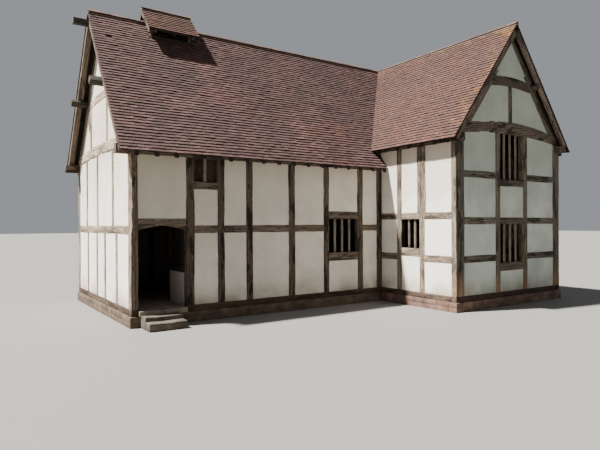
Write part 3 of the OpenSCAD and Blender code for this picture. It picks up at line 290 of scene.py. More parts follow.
def rough_stone(name, dark, middle, pale, grit):
    """Squared sandstone, worked with a pick: gritty, with darker weathered faces.

    Grit is in marks per metre: 50 is a pick mark of 20 mm, 30 the clods of an earth floor, and 60
    the sand of mortar, drawn coarse so that it shows. The faces have weathered in patches of 290 mm.
    """
    material, tree = start_material(name)
    where = add(tree, COORDINATES).outputs["Object"]
    tone = add(tree, ATTRIBUTE, attribute_name="tone").outputs["Fac"]
    clouds, marks = (
        add(tree, NOISE, {"Vector": where, "Scale": scale, "Detail": detail, "Roughness": rough})
        for scale, detail, rough in ((3.5, 6.0, 0.65), (grit, 5.0, 0.7)))
    face = add(tree, RAMP, (clouds,), ((0.3, dark), (0.5, middle), (0.72, pale)))
    coats = ((add(tree, RANGE, (tone, 0.0, 1.0, 0.0, 0.5)), dark),
             (add(tree, RANGE, (marks, 0.3, 0.7, 0.0, 0.4)), dark))
    relief = add(tree, MATH, (clouds, marks), operation="ADD")
    weather(tree, face, coats, relief, 0.6, 0.01, 0.9, 0.25)
    return material


# sun: how pale each oak's -X faces are painted, partly bleaching and partly painted sunlight
OAK = weathered_oak("weathered hewn oak", "2d2520", "594c41", "8b7c6d", 0.92, 0.05)
OAK_RAIL = weathered_oak("dry oak rail", "362d26", "706255", "a3937f", 0.6, 0.05)
# a sunlit copy of the plain oak: the same colours with much more painted sunlight on its -X faces
OAK_BLEACHED_AND_LIT = weathered_oak("bleached oak", "2d2520", "594c41", "8b7c6d", 0.8, 0.55)
OAK_SIDE = weathered_oak("part bleached oak", "2d2823", "5a5046", "8d8274", 0.9, 0.33, 0.4)
OAK_WING = weathered_oak("grey weathered oak", "2e2b25", "5f594c", "908876", 0.75, 0.3, 0.9)
# the beams carry the most painted sunlight on their -X faces
OAK_BEAM = weathered_oak("mottled oak beam", "2b2520", "594d42", "87796a", 0.85, 1.25)
OAK_END = weathered_oak("lichened oak end", "201f1a", "3c3a31", "5c5848", 0.6, 0.12)
OAK_MULLION = weathered_oak("pale oak mullion", "544e45", "877e71", "ada495", 0.2, 0.2)
OAK_SILL = weathered_oak("damp oak sill", "2a201a", "453529", "65503f", 0.6, 0.12)
# dark with smoke, and darker still as painted shade for the parts inside and under the roof
OAK_INSIDE = weathered_oak("smoke darkened oak", "1e1814", "302822", "453b32", 0.4, 0.0)
LIMEWASH = aged_limewash("aged limewash", "f1ece2", "dcd7cd", "b39c7e", 0.42)
# the hall front's copy, painted in shade: darker coats, and painted shade growing towards the eaves
# and the doorway
LIMEWASH_HALL = aged_limewash("dusty limewash", "e6e0d4", "d3ccc0", "a5937a", 0.42, 0.5)
# the screen in the doorway, painted dark as shade
LIMEWASH_DARK = aged_limewash("smoked limewash", "b5ada6", "a09791", "6a5f55", 0.4)
# the wing's front: green algae, and a green cast and darkness of painted shade
LIMEWASH_WING = aged_limewash("weathered limewash", "c3c8be", "a6ada4", "868c80", 0.5)
TILE_HALL = plain_clay_tile("wood fired plain tile, plum", (
    (0.0, "2b1816"), (0.2, "36211f"), (0.45, "432b29"), (0.65, "4c3230"),
    (0.85, "573b37"), (1.0, "664542")), 0.2, 0.4, 0.1)
TILE_WING = plain_clay_tile("wood fired plain tile, red", (
    (0.0, "2f1a13"), (0.2, "372018"), (0.45, "3e241c"), (0.65, "45271f"),
    (0.85, "502e25"), (1.0, "5c362c")), 0.4, 0.2, 0.1)
RIDGE_CLAY = plain_clay_tile("weathered ridge tile", (
    (0.0, "3d2c28"), (0.4, "503a34"), (0.7, "5f463d"), (1.0, "6c5044")), 0.25, 0.3, 0.1)
MORTAR = rough_stone("lime mortar", "5e4f42", "79685a", "968472", 60)
VERGE_MORTAR = rough_stone("sandy verge mortar", "6b4c3a", "8f6c54", "b08c70", 60)
# painted dark as shade: it shows only at the missing tile and under the louvre
TORCHING = rough_stone("smoked laths and torching", "201915", "2f2620", "42372e", 40)
HALL_STONE = rough_stone("picked sandstone, dark", "453c32", "675849", "85745e", 45)
WING_STONE = rough_stone("picked sandstone, red", "53423a", "7d6354", "9b806c", 45)
STEP_STONE = rough_stone("worn doorstep stone", "352e27", "585046", "80766a", 50)
# the threshold and the earth floor are painted paler, as painted light in the doorway
THRESHOLD_STONE = rough_stone("pale trodden threshold", "5f564c", "8a8073", "b0a698", 50)
EARTH = rough_stone("beaten earth floor", "6d6255", "908475", "aca08f", 30)


# mesh helpers
SAME_POINT, SAME_FACE, ON_PLANE = 1e-5, math.radians(0.5), 1e-6


def cad_islands(node):
    """A merged copy of a CAD node, split into its separate solids."""
    mesh = bmesh.new()
    mesh.from_mesh(NODES[node].data)
    bmesh.ops.remove_doubles(mesh, verts=mesh.verts, dist=SAME_POINT)
    bmesh.ops.dissolve_limit(mesh, angle_limit=SAME_FACE, verts=mesh.verts, edges=mesh.edges)
    seen, islands = set(), []
    for face in mesh.faces:
        if face in seen:
            continue
        group, stack = [], [face]
        seen.add(face)
        while stack:
            here = stack.pop()
            group.append(here)
            for edge in here.edges:
                for other in edge.link_faces:
                    if other not in seen:
                        seen.add(other)
                        stack.append(other)
        part = bmesh.new()
        known = {}
        for item in group:
            for vert in item.verts:
                if vert not in known:
                    known[vert] = part.verts.new(vert.co)
            part.faces.new([known[vert] for vert in item.verts])
        part.normal_update()
        islands.append(part)
    mesh.free()
    return islands


def reach(part, axis):
    """From where to where a mesh goes along an axis."""
    places = [v.co.dot(axis) for v in part.verts]
    return min(places), max(places)


def box_of(part):
    """The low and the high corner of a mesh."""
    return (Vector(corner) for corner in zip(*(reach(part, axis) for axis in (X, Y, Z))))


def cut(part, point, normal, clear=False):
    """Cuts the faces along a plane, and can clear away what lies beyond it."""
    bmesh.ops.bisect_plane(part, geom=part.verts[:] + part.edges[:] + part.faces[:], dist=ON_PLANE,
                           plane_co=point, plane_no=normal, clear_outer=clear)


def cut_evenly(part, axis, step):
    """Cuts a mesh across an axis into equal lengths of about one step."""
    low, high = reach(part, axis)
    count = max(2, int((high - low) / step))
    for i in range(1, count):
        cut(part, axis * (low + (high - low) * i / count), axis)


def slice_off(part, point, normal):
    """Takes away what lies beyond a plane and closes the cut."""
    cut(part, point, normal, clear=True)
    rim = [edge for edge in part.edges if edge.is_boundary]
    bmesh.ops.holes_fill(part, edges=rim, sides=0)


def trim(piece, *planes):
    """Cuts a piece back to the inner side of each plane (point, outward normal)."""
    part = bmesh.new()
    part.from_mesh(piece.data)
    for point, normal in planes:
        slice_off(part, point, normal)
    part.to_mesh(piece.data)
    part.free()


def sharp_edges(part, angle):
    part.normal_update()
    return [e for e in part.edges if len(e.link_faces) == 2 and e.calc_face_angle(0) > angle]


def wear_edges(part, edges, radius, segments=2, profile=0.6):
    bmesh.ops.bevel(part, geom=edges, offset=radius, segments=segments, profile=profile,
                    affect="EDGES", clamp_overlap=True)


class Gather:
    """Collects many small meshes with their point attributes into one mesh."""

    def __init__(self):
        self.points, self.faces, self.values = [], [], {}

    def take(self, part, **values):
        """Values: one for the whole part, or a list with one for each point."""
        base, count = len(self.points), len(part.verts)
        part.verts.index_update()
        self.points += [tuple(vert.co) for vert in part.verts]
        self.faces += [[base + vert.index for vert in face.verts] for face in part.faces]
        for name, items in values.items():
            self.values.setdefault(name, []).extend(
                items if isinstance(items, list) else [items] * count)
        part.free()

    def finish(self, name, material, smooth=0.0):
        """The piece. Smooth: its sharpest soft edge, in degrees."""
        mesh = bpy.data.meshes.new(name)
        mesh.from_pydata(self.points, [], self.faces)
        for key, items in self.values.items():
            if isinstance(items[0], tuple):
                layer = mesh.attributes.new(key, "FLOAT_VECTOR", "POINT")
                layer.data.foreach_set("vector", np.array(items, np.float32).ravel())
            else:
                layer = mesh.attributes.new(key, "FLOAT", "POINT")
                layer.data.foreach_set("value", np.array(items, np.float32))
        mesh.materials.append(material)
        mesh.update()
        if smooth:
            mesh.polygons.foreach_set("use_smooth", [True] * len(mesh.polygons))
            mesh.set_sharp_from_angle(angle=math.radians(smooth))
        return show(name, mesh)


def place(piece, node, replaces=True):
    """Gives a piece its body, and lets it stand for its CAD node."""
    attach(piece, "root")
    if replaces:
        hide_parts(node)


# hewn timbers
# length between cuts, and the length at each end where the waver fades out
HEWN_LENGTH, END_LENGTH = 0.16, 0.05
# how deep a face is hollowed, and the adze's marks: how deep, and how many for each metre
HEWN_FACE, ADZE_DEPTH, ADZE_MARKS = 0.004, 0.0015, 11
SQUARE_EDGE = math.radians(25)
# ragged edges: waves for each metre, which noise they read, and their share of the waver
RAGGED = ((1.6, 5, 1.0), (6, 9, 0.55), (19, 7, 0.25))
# the round natural edge of the front corner: its width, and how near the corner it is looked for
WANE, AT_CORNER, ON_ARRIS = 0.12, 0.02, 0.012


def long_axis(part):
    """Along the member: the direction of its longest straight edges."""
    best = max(part.edges, key=lambda e: e.calc_length())
    along = (best.verts[1].co - best.verts[0].co).normalized()
    spans = []
    for axis in (along, X, Y, Z):
        low, high = reach(part, axis)
        spans.append((high - low, axis))
    longest = max(spans, key=lambda s: s[0])
    return along if spans[0][0] > 0.8 * longest[0] else longest[1]


def leave_wane(part, low, high):
    """Leaves the tree's own round edge on the house's front corner, between two heights."""
    if min(v.co.xy.length for v in part.verts) > AT_CORNER:
        return
    for axis in (X, Y):
        cut(part, axis * WANE, axis)
    # it comes and goes every 350 mm
    for vert in part.verts:
        if max(vert.co.xy) < ON_ARRIS and low < vert.co.z < high:
            bite = WANE * (0.3 + 0.6 * noise.noise(Z * vert.co.z * 2.9))
            vert.co += (X + Y) * max(0.0, bite)


def hew(part, number, waver, through, bend, wane, arris):
    """Gives a squared solid hewn faces, worn arrises and wavering edges. Returns its grain.

    Waver is how far its edges wander, through the direction they stay square to, bend its bow.
    Each number reads another part of the noise.
    """
    offset = Vector((number * 3.17, number * 1.31, number * 2.23))
    along = long_axis(part)
    depth = through or along.cross(X if abs(along.x) < 0.9 else Y).normalized()
    side = depth.cross(along).normalized()
    low, high = reach(part, along)
    cut_evenly(part, along, HEWN_LENGTH)
    wear_edges(part, sharp_edges(part, SQUARE_EDGE), arris)
    if wane:
        leave_wane(part, *wane)
    side_middle, depth_middle = (sum(reach(part, axis)) / 2 for axis in (side, depth))
    lean = (noise.noise(offset * 1.7) * 2) * bend
    grain = []
    for vert in part.verts:
        t = vert.co.dot(along)
        level = vert.co.dot(side) - side_middle
        sign = 1 if level > 0 else -1
        ragged = sum(share * noise.noise(Vector((t * waves, sign * layer, 0)) + offset)
                     for waves, layer, share in RAGGED)
        # hollows of 400 by 200 mm, and others on the far face
        inner = 1 if vert.co.dot(depth) > depth_middle else -1
        hollow = noise.noise(Vector((t * 2.5, inner * 4, level * 5)) + offset)
        face = hollow * min(waver, HEWN_FACE)
        grain.append((t + offset.x, vert.co.dot(side) + offset.y, vert.co.dot(depth) + offset.z))
        end = max(0.0, min(1.0, min(t - low, high - t) / END_LENGTH))
        bow = math.sin(math.pi * (t - low) / (high - low)) * lean
        adze = noise.noise_vector(vert.co * ADZE_MARKS + offset) * ADZE_DEPTH
        vert.co += (side * (sign * waver * ragged + bow) + depth * inner * face + adze) * end
    return grain


def timbers(node, material, waver=0.008, through=None, bend=0.0, wane=(), arris=0.009):
    gather = Gather()
    for number, part in enumerate(cad_islands(node)):
        seed = number + len(node) * 7
        grain = hew(part, seed, waver, through, bend, wane, arris)
        gather.take(part, grain=grain, tone=random.random())
    place(gather.finish("hewn_" + node, material, smooth=40), node)


# plaster panels
# how far they reach behind the timbers, and how wide the staining and painted shade along these is
TUCK, RIM = 0.025, 0.075
# the floated face: length between cuts, depth, and its waves for each metre with their shares
FLOAT_STEP, FLOAT_DEPTH, FLOAT_WAVES = 0.3, 0.004, ((1.7, 1.0), (5, 0.4))
DAMP_FROM, DAMP_HEIGHT = 0.42, 0.45


def grow_in_plane(part, normal):
    """Lets each panel reach a little behind the timbers around it."""
    moves = {}
    for vert in part.verts:
        sides = []
        for face in vert.link_faces:
            n = face.normal
            if abs(n.dot(normal)) < 0.5 and all((n - s).length > 0.02 for s in sides):
                sides.append(n.copy())
        if not sides:
            continue
        rows = np.array([tuple(s) for s in sides] + [tuple(normal)])
        goal = np.array([TUCK] * len(sides) + [0.0])
        moves[vert] = Vector(np.linalg.lstsq(rows, goal, rcond=None)[0])
    for vert, move in moves.items():
        if move.length < 4 * TUCK:
            vert.co += move


def plaster(node, material, normal):
    """Panels tucked behind the timbers' edges, with a hand floated face."""
    gather = Gather()
    for part in cad_islands(node):
        grow_in_plane(part, normal)
        spans = []
        for axis in (Z, normal.cross(Z).normalized()):
            low, high = reach(part, axis)
            steps = int((high - low) / FLOAT_STEP) + 1
            marks = [low + RIM, high - RIM]
            marks += [low + (high - low) * i / steps for i in range(1, steps)]
            for mark in marks:
                cut(part, axis * mark, axis)
            spans.append((axis, *reach(part, axis)))
        rim, foot, inside = [], [], []
        middle = sum(reach(part, normal)) / 2
        for vert in part.verts:
            near = min(min(vert.co.dot(axis) - low, high - vert.co.dot(axis))
                       for axis, low, high in spans)
            rim.append(max(0.0, 1 - near / RIM))
            foot.append(max(0.0, 1 - (vert.co.z - DAMP_FROM) / DAMP_HEIGHT))
            inside.append(float(vert.co.dot(normal) < middle))
            wave = sum(share * noise.noise(vert.co * waves) for waves, share in FLOAT_WAVES)
            vert.co += normal * FLOAT_DEPTH * wave
        gather.take(part, rim=rim, foot=foot, inside=inside)
    place(gather.finish("limewashed_" + node, material), node)


# many copies of one small mesh
def unit_mesh(name, part):
    bmesh.ops.recalc_face_normals(part, faces=part.faces)
    mesh = bpy.data.meshes.new(name)
    part.to_mesh(mesh)
    part.free()
    return mesh


def copies_tree():
    """Puts a unit at every point, turned and sized by the points' attributes."""
    tree = bpy.data.node_groups.new("copies", "GeometryNodeTree")
    for name, kind in (("Points", "Geometry"), ("Unit", "Object"), ("Finish", "Material")):
        tree.interface.new_socket(name, in_out="INPUT", socket_type="NodeSocket" + kind)
    tree.interface.new_socket("Copies", in_out="OUTPUT", socket_type="NodeSocketGeometry")
    start = add(tree, "NodeGroupInput").outputs
    unit = add(tree, "GeometryNodeObjectInfo", {"Object": start["Unit"]}).outputs["Geometry"]
    turn, size = (add(tree, "GeometryNodeInputNamedAttribute", {"Name": word},
                      data_type="FLOAT_VECTOR") for word in ("turn", "size"))
    copies = add(tree, "GeometryNodeInstanceOnPoints", {
        "Points": start["Points"], "Instance": unit,
        "Rotation": add(tree, "FunctionNodeEulerToRotation", (turn,)), "Scale": size})
    real = add(tree, "GeometryNodeRealizeInstances", {"Geometry": copies})
    finish = add(tree, "GeometryNodeSetMaterial", {"Geometry": real, "Material": start["Finish"]})
    add(tree, "NodeGroupOutput", (finish,))
    return tree


COPIES = copies_tree()


def scatter(name, unit, poses, material, **values):
    """Copies one small mesh to each pose through the node tree, and keeps the plain mesh."""
    points = Gather()
    parts = [pose.decompose() for pose in poses]
    points.points = [tuple(spot) for spot, _, _ in parts]
    points.values = {"turn": [tuple(turn.to_euler()) for _, turn, _ in parts],
                     "size": [tuple(size) for _, _, size in parts], **values}
    piece = points.finish(name, material)
    carrier = show(name + "_unit", unit)
    modifier = piece.modifiers.new("copies", "NODES")
    modifier.node_group = COPIES
    sockets = {item.name: item.identifier for item in COPIES.interface.items_tree
               if item.in_out == "INPUT"}
    modifier[sockets["Unit"]] = carrier
    modifier[sockets["Finish"]] = material
    bpy.context.view_layer.update()
    evaluated = piece.evaluated_get(bpy.context.evaluated_depsgraph_get())
    solid = bpy.data.meshes.new_from_object(evaluated)
    piece.modifiers.remove(modifier)
    piece.data = solid
    bpy.data.objects.remove(carrier)
    return piece


# beds of mortar
MORTAR_STEP, BED_ROUGH, VERGE_ROUGH = 0.12, 0.003, 0.002
# waves for each metre, and which noise they read: for each corner of the outline, and for all
MORTAR_WAVES = ((2.7, 5, 0), (9, 3, 7))


def swept(name, material, outline, start, end, side, up, rough):
    """A strip of fixed outline from start to end, uneven as mortar is. Outline: (side, up)."""
    count = max(2, int((end - start).length / MORTAR_STEP))
    part = bmesh.new()
    rings = []
    for i in range(count + 1):
        spot = start + (end - start) * (i / count)
        ring = []
        for number, (a, b) in enumerate(outline):
            wave = sum(noise.noise(spot * waves + Vector((number * apart, layer, 0)))
                       for waves, apart, layer in MORTAR_WAVES)
            ring.append(part.verts.new(spot + side * (a + rough * wave)
                                       + up * (b + rough * wave * 0.6)))
        rings.append(ring)
    size = len(outline)
    for first, second in zip(rings, rings[1:]):
        for k in range(size):
            n = (k + 1) % size
            part.faces.new((first[k], first[n], second[n], second[k]))
    part.faces.new(rings[0][::-1])
    part.faces.new(rings[-1])
    bmesh.ops.recalc_face_normals(part, faces=part.faces)
    gather = Gather()
    gather.take(part, tone=0.4, lichen=0.3)
    return gather.finish(name, material)


# tiled slopes
TILE_WIDTH, TILE_LENGTH, TILE_THICK, TILE_JOINT = 0.165, 0.265, 0.016, 0.003
# sections of a tile: place from its tail, rise of its top, thickness
TILE_SECTIONS = ((0.0, 0.0, TILE_THICK), (0.11, 0.0015, TILE_THICK), (TILE_LENGTH, 0.015, 0.008))
# the part of each course that shows
HALL_GAUGE, WING_GAUGE = 0.104, 0.113
# the rise of a tile over the one below, how deep tails sink in the solid, the room over the laths
STEP, SUNK, LATH_GAP, EAVE_BACK = 0.020, 0.006, 0.006, 0.05
# how far single tiles slip, and turn, lean and tip in radians
SLIP, TURN, LEAN, TIP = 0.0025, 0.008, 0.012, 0.016
SAG, BROKEN_LENGTH = 0.010, 0.4
# a tone: the least, and the shares of the tile's own firing, of its place and of a warm place
TONE_LEAST, TONE_OWN, TONE_PLACE, TONE_WARM = 0.12, 0.7, 0.2, 0.4
WARM_SPREAD = 0.16


class Slope:
    """The tiled face of a roof solid, from its eaves' first corner up to the ridge."""

    def __init__(self, node, along, gauge):
        self.node = node
        mesh = NODES[node].data
        inward = Z.cross(along)
        face = max(mesh.polygons, key=lambda f: f.area * (f.normal.z > 0.2 > f.normal.dot(inward)))
        origin = mesh.vertices[face.vertices[0]].co
        self.along, self.gauge = along, gauge
        self.normal = face.normal.copy()
        self.up = self.normal.cross(along)
        flat = [v.co for v in mesh.vertices if abs((v.co - origin).dot(self.normal)) < 1e-4]
        starts = [co.dot(along) for co in flat]
        eave = min(flat, key=lambda co: co.z)
        self.length = max(starts) - min(starts)
        self.corner = eave + along * (min(starts) - eave.dot(along))
        self.height = (max(co.z for co in flat) - eave.z) / self.up.z
        self.pitch = math.acos(self.normal.z)

    def spot(self, along, up):
        return self.corner + self.along * along + self.up * up


def tile_mesh():
    """One tile, tail at the origin and head up +Y: it thins and bends down towards its head."""
    part = bmesh.new()
    half = (TILE_WIDTH - TILE_JOINT) / 2
    rows = [[part.verts.new((x, y, z)) for z in (lift, lift - thick) for x in (-half, half)]
            for y, lift, thick in TILE_SECTIONS]
    for a, b in zip(rows, rows[1:]):
        for i, k in ((0, 1), (1, 3), (3, 2), (2, 0)):
            part.faces.new((a[i], a[k], b[k], b[i]))
    part.faces.new([rows[0][i] for i in (0, 2, 3, 1)])
    part.faces.new([rows[-1][i] for i in (1, 3, 2, 0)])
    return unit_mesh("plain_tile", part)


TILE = tile_mesh()


def bonded(slope, row):
    """Middle and width of each tile in a course, in broken bond with halves at the ends."""
    whole = int(slope.length / TILE_WIDTH)
    width = slope.length / whole
    if row % 2 == 0:
        return [((i + 0.5) * width, 1.0) for i in range(whole)]
    return [(width / 4, 0.5)] + [(i * width, 1.0) for i in range(1, whole)] + [
        (slope.length - width / 4, 0.5)]


def tiles(name, slope, material, keep, seed, missing=(), broken=(), warm=(), age=None):
    """Courses of tiles up a slope, each one a little out of true.

    Missing and broken: (course, number in it). A broken one has lost its head. Warm: places of
    redder tiles. Age: how much lichen grows at a place.
    """
    rng = random.Random(seed)
    poses, tones, lichens = [], [], []
    tilt = math.atan2(STEP, slope.gauge)
    basis = Matrix((slope.along, slope.up, slope.normal)).transposed().to_4x4()
    for row in range(-1, int(slope.height / slope.gauge) + 1):
        for number, (x, wide) in enumerate(bonded(slope, row)):
            slip = rng.gauss(0, SLIP)
            turn, lean = rng.gauss(0, TURN), rng.gauss(0, LEAN)
            tip = abs(rng.gauss(0, TIP))
            tone = rng.random()
            up = max(row, 0) * slope.gauge + slip
            spot = slope.spot(x, up)
            if (row, number) in missing or not keep(spot):
                continue
            long = BROKEN_LENGTH if (row, number) in broken else 1
            # old laths sag in waves of 2.5 m and 0.7 m
            sag = (noise.noise(spot * 0.4) + 0.5 * noise.noise(spot * 1.5)) * SAG
            # the first course lies under the second, and a tipped tile rests on its head
            down = SUNK + (TILE_THICK if row < 0 else 0) - tip * TILE_LENGTH
            poses.append(Matrix.Translation(spot + slope.normal * (sag - down)) @ basis
                         @ Matrix.Rotation(turn, 4, "Z") @ Matrix.Rotation(-tilt - tip, 4, "X")
                         @ Matrix.Rotation(lean, 4, "Y") @ Matrix.Diagonal((wide, long, 1, 1)))
            wander = noise.noise(spot * 0.9) * TONE_PLACE
            glow = sum(math.exp(-((x - a) ** 2 + (up - b) ** 2) / WARM_SPREAD) for a, b in warm)
            tone = tone * TONE_OWN + TONE_LEAST + wander + TONE_WARM * glow
            tones.append(min(1.0, max(0.0, tone)))
            lichens.append(age(spot) if age else 0.0)
    return scatter(name, TILE, poses, material, tone=tones, lichen=lichens)


def under_sheet(node, *slopes):
    """The laths and torching under the tiles: the solid, lowered and cut back at its eaves."""
    drop = STEP + SUNK + LATH_GAP
    gather = Gather()
    for part in cad_islands(node):
        falls = {v: drop / f.normal.z for f in part.faces if f.normal.z > 0.2 for v in f.verts}
        for vert, fall in falls.items():
            vert.co.z -= fall
        for slope in slopes:
            slice_off(part, slope.spot(0, EAVE_BACK), -slope.up)
        gather.take(part, tone=0.5)
    # the laths' dark finish is painted shade
    place(gather.finish("laths_" + node, TORCHING), node)


# ridge tiles
RIDGE_LENGTH, RIDGE_JOINT, RIDGE_THICK = 0.33, 0.008, 0.016
# how far the crown stands above the ridge, half the tile's width, and how soft the crown is
RIDGE_RAISE, RIDGE_REACH, RIDGE_CROWN = 0.030, 0.062, 0.03
RIDGE_SHIFT, RIDGE_TURN = 0.004, 0.008
# their bed: how far inside their edges, how far under them there and at the crown, how deep at
# the edges, and how far under the ridge
BED_INSET, BED_EDGE, BED_CROWN, BED_DEPTH, BED_FOOT = 0.008, 0.024, 0.045, 0.05, 0.06


def ridge_unit(name, pitch, length):
    """An angular ridge tile with a soft crown, along X, its crown at the origin."""
    part = bmesh.new()
    count = 8
    rings = []
    for x in (0.0, length):
        ring = []
        for drop in (0.0, RIDGE_THICK / math.cos(pitch)):
            for i in range(count + 1):
                y = RIDGE_REACH * (2 * i / count - 1)
                z = -math.tan(pitch) * (math.hypot(y, RIDGE_CROWN) - RIDGE_CROWN) - drop
                ring.append(part.verts.new((x, y, z)))
        rings.append(ring)
    a, b = rings
    n = count + 1
    for i in range(count):
        part.faces.new((a[i], a[i + 1], b[i + 1], b[i]))
        part.faces.new((a[n + i + 1], a[n + i], b[n + i], b[n + i + 1]))
        for ring in rings:
            part.faces.new((ring[i], ring[i + 1], ring[n + i + 1], ring[n + i]))
    part.faces.new((a[0], b[0], b[n], a[n]))
    part.faces.new((a[count], b[count], b[n + count], a[n + count]))
    return unit_mesh(name, part)


def ridge(name, start, end, pitch):
    """Ridge tiles butted along a line, and their bed of mortar."""
    rng = random.Random(len(name))
    way = (end - start).normalized()
    total = (end - start).length
    count = max(1, round(total / RIDGE_LENGTH))
    length = total / count
    side = Z.cross(way)
    basis = Matrix((way, side, Z)).transposed().to_4x4()
    poses, tones, lichens = [], [], []
    for i in range(count):
        lift = RIDGE_RAISE + rng.uniform(-RIDGE_SHIFT, RIDGE_SHIFT)
        spot = start + way * (i * length + RIDGE_JOINT / 2) + Z * lift
        spot += side * rng.uniform(-RIDGE_SHIFT, RIDGE_SHIFT)
        poses.append(Matrix.Translation(spot) @ basis
                     @ Matrix.Rotation(rng.gauss(0, RIDGE_TURN), 4, "Z")
                     @ Matrix.Rotation(rng.gauss(0, RIDGE_TURN), 4, "Y"))
        tones.append(rng.random())
        lichens.append(rng.random())
    unit = ridge_unit(name + "_unit", pitch, length - RIDGE_JOINT)
    piece = scatter(name, unit, poses, RIDGE_CLAY, tone=tones, lichen=lichens)
    wide = RIDGE_REACH - BED_INSET
    edge = RIDGE_RAISE - BED_EDGE - math.tan(pitch) * wide
    outline = [(-wide, edge), (0.0, RIDGE_RAISE - BED_CROWN), (wide, edge),
               (wide, edge - BED_DEPTH), (0.0, -BED_FOOT), (-wide, edge - BED_DEPTH)]
    mortar = swept(name + "_bed", MORTAR, outline, start, end, side, Z, BED_ROUGH)
    return piece, mortar


# stones, boards and pegs
STONE_LENGTHS, SHORTEST_STONE, COURSES = (0.22, 0.5), 0.2, 2
STONE_JOINT, STONE_EDGE, STONE_ROUGH = 0.006, 0.012, 0.006
CORE_BACK, CORE_DROP = 0.012, 0.004
STEP_CUTS, STEP_EDGE, STEP_WAVER, TREAD_HALF = 0.09, 0.018, 0.004, 0.28
BOARD_GAP, BOARD_EDGE, BOARD_ROUGH = 0.003, 0.003, 0.0015
PEG_SIDES, PEG_ROOT, PEG_TIP, PEG_LENGTH = 8, 0.013, 0.010, 0.030
PEG_INSET, PEG_APART, PEG_SUNK = 0.05, 0.035, 0.006
# only rails at least this long, and no deeper than this, are pegged
LEAST_RAIL, DEEPEST_RAIL = 0.3, 0.6


def block(low, high, rng, round_by, rough):
    """A worked stone or board that fills a box, with worn edges."""
    part = bmesh.new()
    bmesh.ops.create_cube(part, size=1.0)
    size = [b - a for a, b in zip(low, high)]
    for vert in part.verts:
        vert.co = Vector([a + (c + 0.5) * d for a, c, d in zip(low, vert.co, size)])
    wear_edges(part, part.edges[:], round_by)
    shift = Vector((rng.uniform(0, 50), rng.uniform(0, 50), 0))
    for vert in part.verts:
        vert.co += noise.noise_vector(vert.co * 6 + shift) * rough
    return part


def masonry(node, stone_for):
    """Squared stones in courses on a mortar core, over each length of the plinth."""
    rng = random.Random(5)
    stones = {}
    core = Gather()
    for part in cad_islands(node):
        low, high = box_of(part)
        run = 0 if high[0] - low[0] > high[1] - low[1] else 1
        material = stone_for(low, high)
        gather = stones.setdefault(material.name, (material, Gather()))[1]
        for course in range(COURSES):
            first, last = course == 0, course == COURSES - 1
            bottom = low[2] + (high[2] - low[2]) * course / COURSES
            top = low[2] + (high[2] - low[2]) * (course + 1) / COURSES
            at = low[run]
            while at < high[run] - 0.01:
                size = rng.uniform(*STONE_LENGTHS)
                if high[run] - at - size < SHORTEST_STONE:
                    size = high[run] - at
                a, b = list(low), list(high)
                a[run] = at + STONE_JOINT / 2
                b[run] = at + size - STONE_JOINT / 2
                a[2] = bottom if first else bottom + STONE_JOINT / 2
                b[2] = top if last else top - STONE_JOINT / 2
                gather.take(block(a, b, rng, STONE_EDGE, STONE_ROUGH), tone=rng.random())
                at += size
        for vert in part.verts:
            for i in range(2):
                vert.co[i] += CORE_BACK if vert.co[i] < (low[i] + high[i]) / 2 else -CORE_BACK
            vert.co.z = min(vert.co.z, high[2] - CORE_DROP)
        core.take(part, tone=0.4)
    for material, gather in stones.values():
        name = "stones_" + material.name.split()[-1]
        place(gather.finish(name, material, smooth=40), node)
    place(core.finish("plinth_core", MORTAR), node)


def worn_blocks(node, material, wear):
    """Doorstep stones, rounded and trodden hollow in the middle."""
    gather = Gather()
    for number, part in enumerate(cad_islands(node)):
        low, high = box_of(part)
        for axis in (X, Y):
            cut_evenly(part, axis, STEP_CUTS)
        wear_edges(part, sharp_edges(part, 0.6), STEP_EDGE, 3, 0.5)
        middle = (low.x + high.x) / 2
        for vert in part.verts:
            top = max(0.0, (vert.co.z - low.z) / (high.z - low.z) - 0.5) * 2
            vert.co.z -= wear * top * math.exp(-((vert.co.x - middle) / TREAD_HALF) ** 2)
            vert.co += noise.noise_vector(vert.co * 5 + X * number) * STEP_WAVER
        gather.take(part, tone=0.3 + 0.2 * number)
    place(gather.finish("worn_" + node, material, smooth=50), node)


def boards(node, material, across, width):
    """Splits each slab into separate boards along one axis (0, 1 or 2)."""
    rng = random.Random(9)
    gather = Gather()
    for part in cad_islands(node):
        low, high = box_of(part)
        part.free()
        count = max(1, round((high[across] - low[across]) / width))
        for i in range(count):
            a, b = list(low), list(high)
            a[across] = low[across] + (high[across] - low[across]) * i / count + BOARD_GAP / 2
            b[across] = low[across] + (high[across] - low[across]) * (i + 1) / count - BOARD_GAP / 2
            board = block(a, b, rng, BOARD_EDGE, BOARD_ROUGH)
            run = max((k for k in range(3) if k != across), key=lambda k: b[k] - a[k])
            other = 3 - across - run
            shift = rng.uniform(0, 30)
            grain = [(v.co[run] + shift, v.co[across] + shift, v.co[other]) for v in board.verts]
            gather.take(board, grain=grain, tone=rng.random())
    place(gather.finish("boards_" + node, material, smooth=40), node)


def peg_mesh():
    """The end of an oak peg, roughly eight sided, standing out along -Y."""
    part = bmesh.new()
    bmesh.ops.create_cone(part, cap_ends=True, segments=PEG_SIDES, radius1=PEG_ROOT,
                          radius2=PEG_TIP, depth=PEG_LENGTH,
                          matrix=Matrix.Rotation(math.radians(90), 4, "X"))
    return unit_mesh("oak_peg", part)


